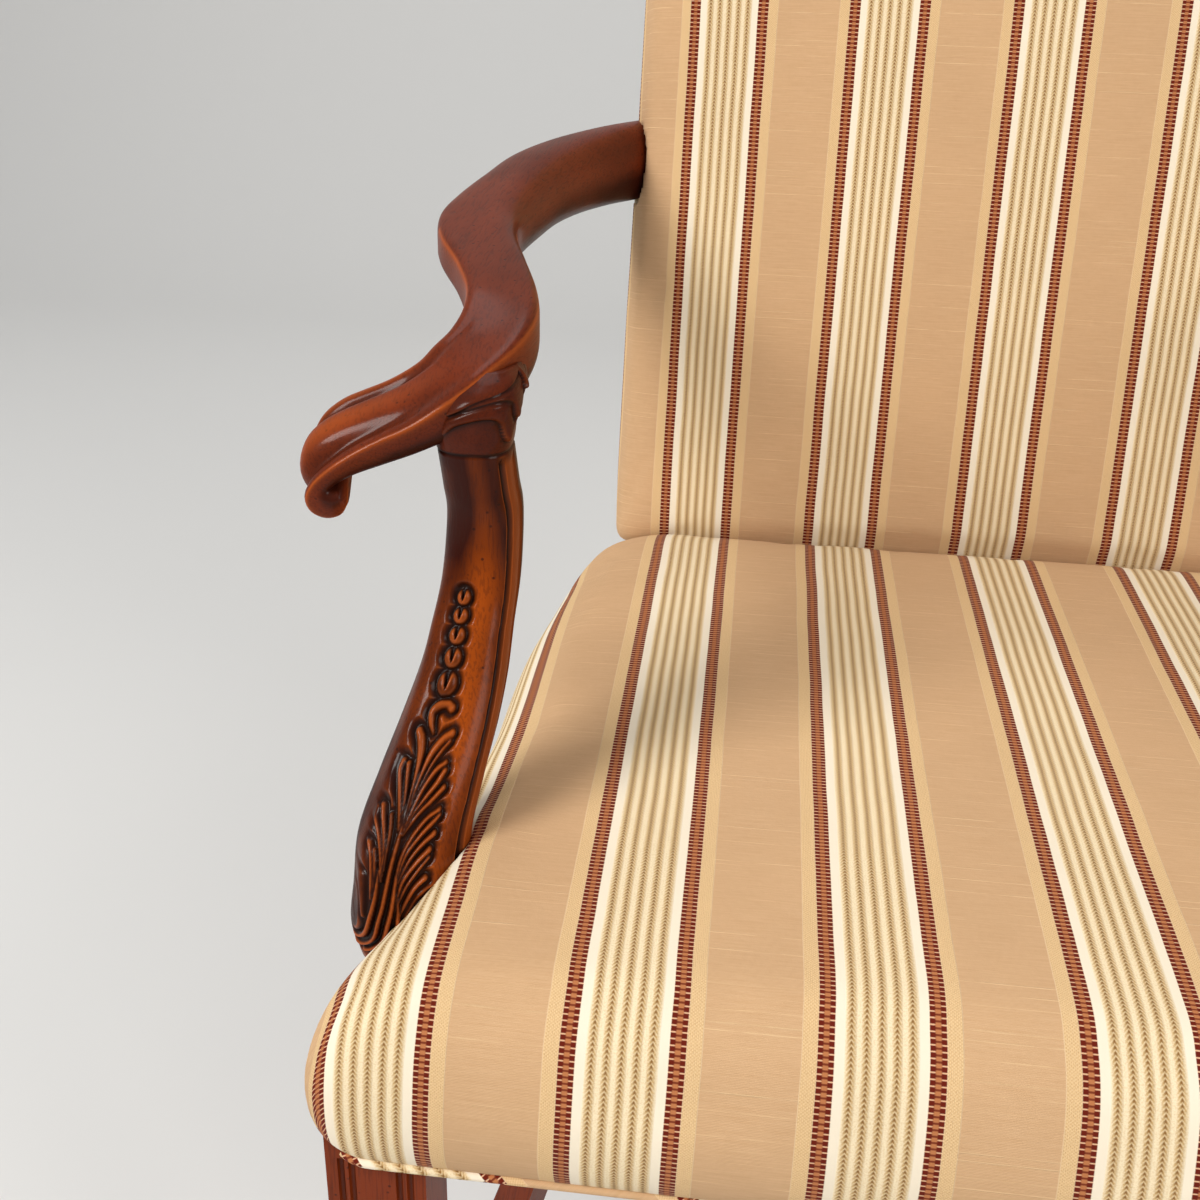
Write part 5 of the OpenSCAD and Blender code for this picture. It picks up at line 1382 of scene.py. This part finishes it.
# %% Outside back
panel_inset, panel_depth = 2 * welt_r + 0.3 * mm, 2.6 * mm
knee_u = (rail_top - seat_h + back_rear_n * math.sin(recline)) / math.cos(recline)
apron_u = knee_u - (rail_top - rail_z) - panel_inset
apron_corners = np.array([[-post_x, apron_u], [post_x, apron_u], panel_corners[2], panel_corners[3]])
rear_corners = inset_corners(apron_corners, panel_inset)
rear_profile = np.array([[-9, 0, 0], [-6, -0.2, 0], [-3.4, -0.8, 0],
                         [-1.4, -1.8, 0], [0, -3.6, 0], [0.5, -5, 0]]) * mm
rear_rounds = [3 * mm, 3 * mm, 16 * mm, 16 * mm]
rear_crown = (2.5 * mm, (0, 0.26), (0.23, 0.28), (0.7, 0.7))


def widened(u):
    """How much wider the panel is at u. Below the knee no welt edges it, so it reaches the posts' outer
    faces."""
    return 1 + panel_inset / (post_x - panel_inset) * smoothstep(0, 6 * mm, knee_u - u)


def with_apron(drum):
    """The panel leans with the back down to the posts' knee, and below it hangs upright behind the rail."""
    x, u, n = drum.T
    leaning = from_back(x * widened(u), np.maximum(u, knee_u), back_rear_n + panel_depth + n)
    return leaning - np.maximum(knee_u - u, 0)[:, None] * up


rear_drum, rear_faces, rear_uv, _ = padded_drum(
    rear_corners, rear_rounds, 60, 80, rear_profile, 0, rear_crown)
rear_points = with_apron(arched(rear_drum))
rear_uv = rear_uv * np.stack([-widened(rear_drum[:, 1]), np.ones(len(rear_drum))], -1)
outside_back = make_piece("outside_back_cloth", rear_points, rear_faces[:, ::-1], striped, uv=rear_uv)
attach(outside_back, "root")
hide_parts("outside_back_panel")
print("Outside back:", len(rear_faces), "faces")

# %% [markdown]
# ### The dust cover
# A black cambric sheet is tacked under the rails, to keep dust in. A cloth simulation could let it sag,
# but a sheet that is held all round sags so little that a formula does: a shallow bowl, deepest in its
# middle, with small scallops between the tacks along its edge.

# %% Dust cover
def dust_sheet():
    """Points, faces, flat area and flat size of the dust cover: a trapezoid cut out round the legs and posts.
    Its grid lines run along the cuts, so the cells inside them are left out. It sags between its tacks."""
    leg, room = node_box("front_leg_right"), 1.5 * mm
    inset, leg_rear, post_front = 7 * mm, leg[1, 1] + room, post_y - room
    front, rear = frame_front + inset, post_rear_y - inset
    y = np.concatenate([np.linspace(front, leg_rear, 9), np.linspace(leg_rear, post_front, 56)[1:],
                        np.linspace(post_front, rear, 6)[1:]])[:, None]
    half = frame_x(y) - inset
    cut = np.interp(y, [leg_rear, post_y], [leg[0, 0] - room, post_x - 35.5 * mm])
    x = np.concatenate([-half, cut * np.linspace(-1, 1, 53), half], axis=1)
    away = (1 - (x / half) ** 2) * (1 - ((y - (front + rear) / 2) * 2 / (rear - front)) ** 2)
    near_edge = np.clip(1 - np.abs(np.abs(x) - half) / (30 * mm), 0, 1)
    tacks = 0.35 * mm * np.sin(y * 2 * math.pi / (38 * mm)) * near_edge
    z = rail_z - 0.75 * mm - 7 * mm * away ** 0.8 - np.abs(tacks)
    faces = grid_faces(*x.shape, False)
    row, column = np.divmod(faces[:, 0], x.shape[1])
    outer = (column == 0) | (column == x.shape[1] - 2)
    cut_out = outer & ((row < 8) | (row >= len(y) - 6))
    used, faces = np.unique(faces[~cut_out], return_inverse=True)
    points = np.stack(np.broadcast_arrays(x, y, z), -1).reshape(-1, 3)[used]
    faces = faces.reshape(-1, 4)
    corners = points[faces][..., :2]
    diagonal_a, diagonal_b = corners[:, 2] - corners[:, 0], corners[:, 3] - corners[:, 1]
    area = 0.5 * np.abs(diagonal_a[:, 0] * diagonal_b[:, 1] - diagonal_a[:, 1] * diagonal_b[:, 0]).sum()
    return points, faces[:, ::-1], float(area), (2 * float(half[0, 0]), float(rear - front))


def plain_cloth(name, light, dark, pitch, sheen=0.3):
    """A plain weave on Object coordinates: two sets of threads, thick and thin by a slow noise."""
    material, shader = principled(name, Roughness=0.9, Sheen_Weight=sheen, Specular_IOR_Level=0.2)
    place = object_place(shader)
    x, y, _ = parts(place)
    weave = x.wave(pitch) * y.wave(pitch) * 0.5 + 0.5
    share = (weave * 0.45 + noise(place, 260.0, 2.0, 0.6) * 0.55).clipped()
    feed(shader, Base_Color=mix_colour(shader.id_data, share, dark, light))
    bump_from(share, shader, 0.3 * mm, 0.6)
    return material


cambric = plain_cloth("black_cambric", srgb(44, 43, 44), srgb(20, 20, 21), 1.1 * mm, sheen=0.03)
sheet_points, sheet_faces, sheet_area, sheet_flat = dust_sheet()
dust_sheet_piece = make_piece("dust_cover_cloth", sheet_points, sheet_faces, cambric)
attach(dust_sheet_piece, "root")
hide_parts("dust_cover")
print("Dust cover cut", [round(v, 3) for v in sheet_flat], "m, area", round(sheet_area, 3))

# %% [markdown]
# ### Finishes of the imported parts
# The legs, posts and stretchers are the same mahogany as the arms, without carving to follow. Their colours
# are kept dark as painted shade, since the legs stand in the shade under the seat. The frame under the cover
# is pale sawn beech, with jute webbing, an unbleached deck cloth, cotton padding and steel screws and glides.
# Each finish is worked out in Object coordinates, turned so that the grain runs along the stick.

# %% Pale frame wood and steel
def sawn_wood(name, turn):
    """Pale beech with short dark flecks along the grain, which runs along the axis that turn brings to Z."""
    material, shader = principled(name, Specular_IOR_Level=0.3)
    turned = mapped(object_place(shader), in_Rotation=turn)
    grain = noise(mapped(turned, in_Scale=(60, 60, 4)), 1.0, 4.0, 0.6)
    flecks = noise(mapped(turned, in_Scale=(900, 900, 120)), 1.0, 1.0, 0.5).above(0.62, 0.08)
    colour = mix_colour(shader.id_data, grain, srgb(222, 190, 148), srgb(182, 142, 98))
    colour = mix_colour(shader.id_data, flecks * 0.5, colour, srgb(140, 98, 62))
    feed(shader, Base_Color=colour, Roughness=grain * 0.2 + 0.55)
    bump_from(grain, shader, 0.3 * mm, 0.4)
    return material


def steel_finish(name):
    """Plain steel with a faint patchy gloss."""
    material, shader = principled(name, Metallic=1.0)
    patches = noise(object_place(shader), 700.0, 3.0, 0.6)
    colour = mix_colour(shader.id_data, patches, srgb(190, 190, 186), srgb(150, 150, 148))
    feed(shader, Base_Color=colour, Roughness=patches * 0.25 + 0.25)
    return material


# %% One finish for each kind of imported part
turns = {"x": (0, -quarter, 0), "y": (quarter, 0, 0), "z": (0, 0, 0)}
# Mahogany darkened with painted shade, for the shade that falls on the legs under the seat.
plain_bright_in_shade, plain_deep_in_shade = srgb(122, 48, 15), srgb(52, 16, 6)
plain_mahogany_in_shade = {axis: mahogany_finish("shaded_mahogany_along_" + axis, turn, plain_bright_in_shade, plain_deep_in_shade, False)
                  for axis, turn in turns.items()}
beech = {axis: sawn_wood("beech_along_" + axis, turn) for axis, turn in turns.items()}
single = {
    "webbing": plain_cloth("jute_webbing", srgb(196, 154, 102), srgb(128, 92, 54), 2.6 * mm),
    "deck_cloth": plain_cloth("unbleached_deck_cloth", srgb(226, 206, 164), srgb(176, 150, 108), 1.4 * mm),
    "padding": plain_cloth("cotton_padding", srgb(232, 224, 200), srgb(212, 200, 170), 3 * mm),
    "steel": steel_finish("plain_steel"),
}
slot_of = {part["node"]: part["material_slot"] for part in frame["record"]["subparts"]}

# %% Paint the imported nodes
painted = 0
for name, node in frame["nodes"].items():
    low, high = node_box(name)
    # The grain of a stick runs along its longest side.
    longest = "xyz"[int((high - low).argmax())]
    of_kind = {"show_wood": plain_mahogany_in_shade[longest], "frame_wood": beech[longest], **single}
    finish = of_kind.get(slot_of[name])
    if finish is not None:
        node.data.materials.clear()
        node.data.materials.append(finish)
        painted += 1
print("Painted", painted, "packed nodes")
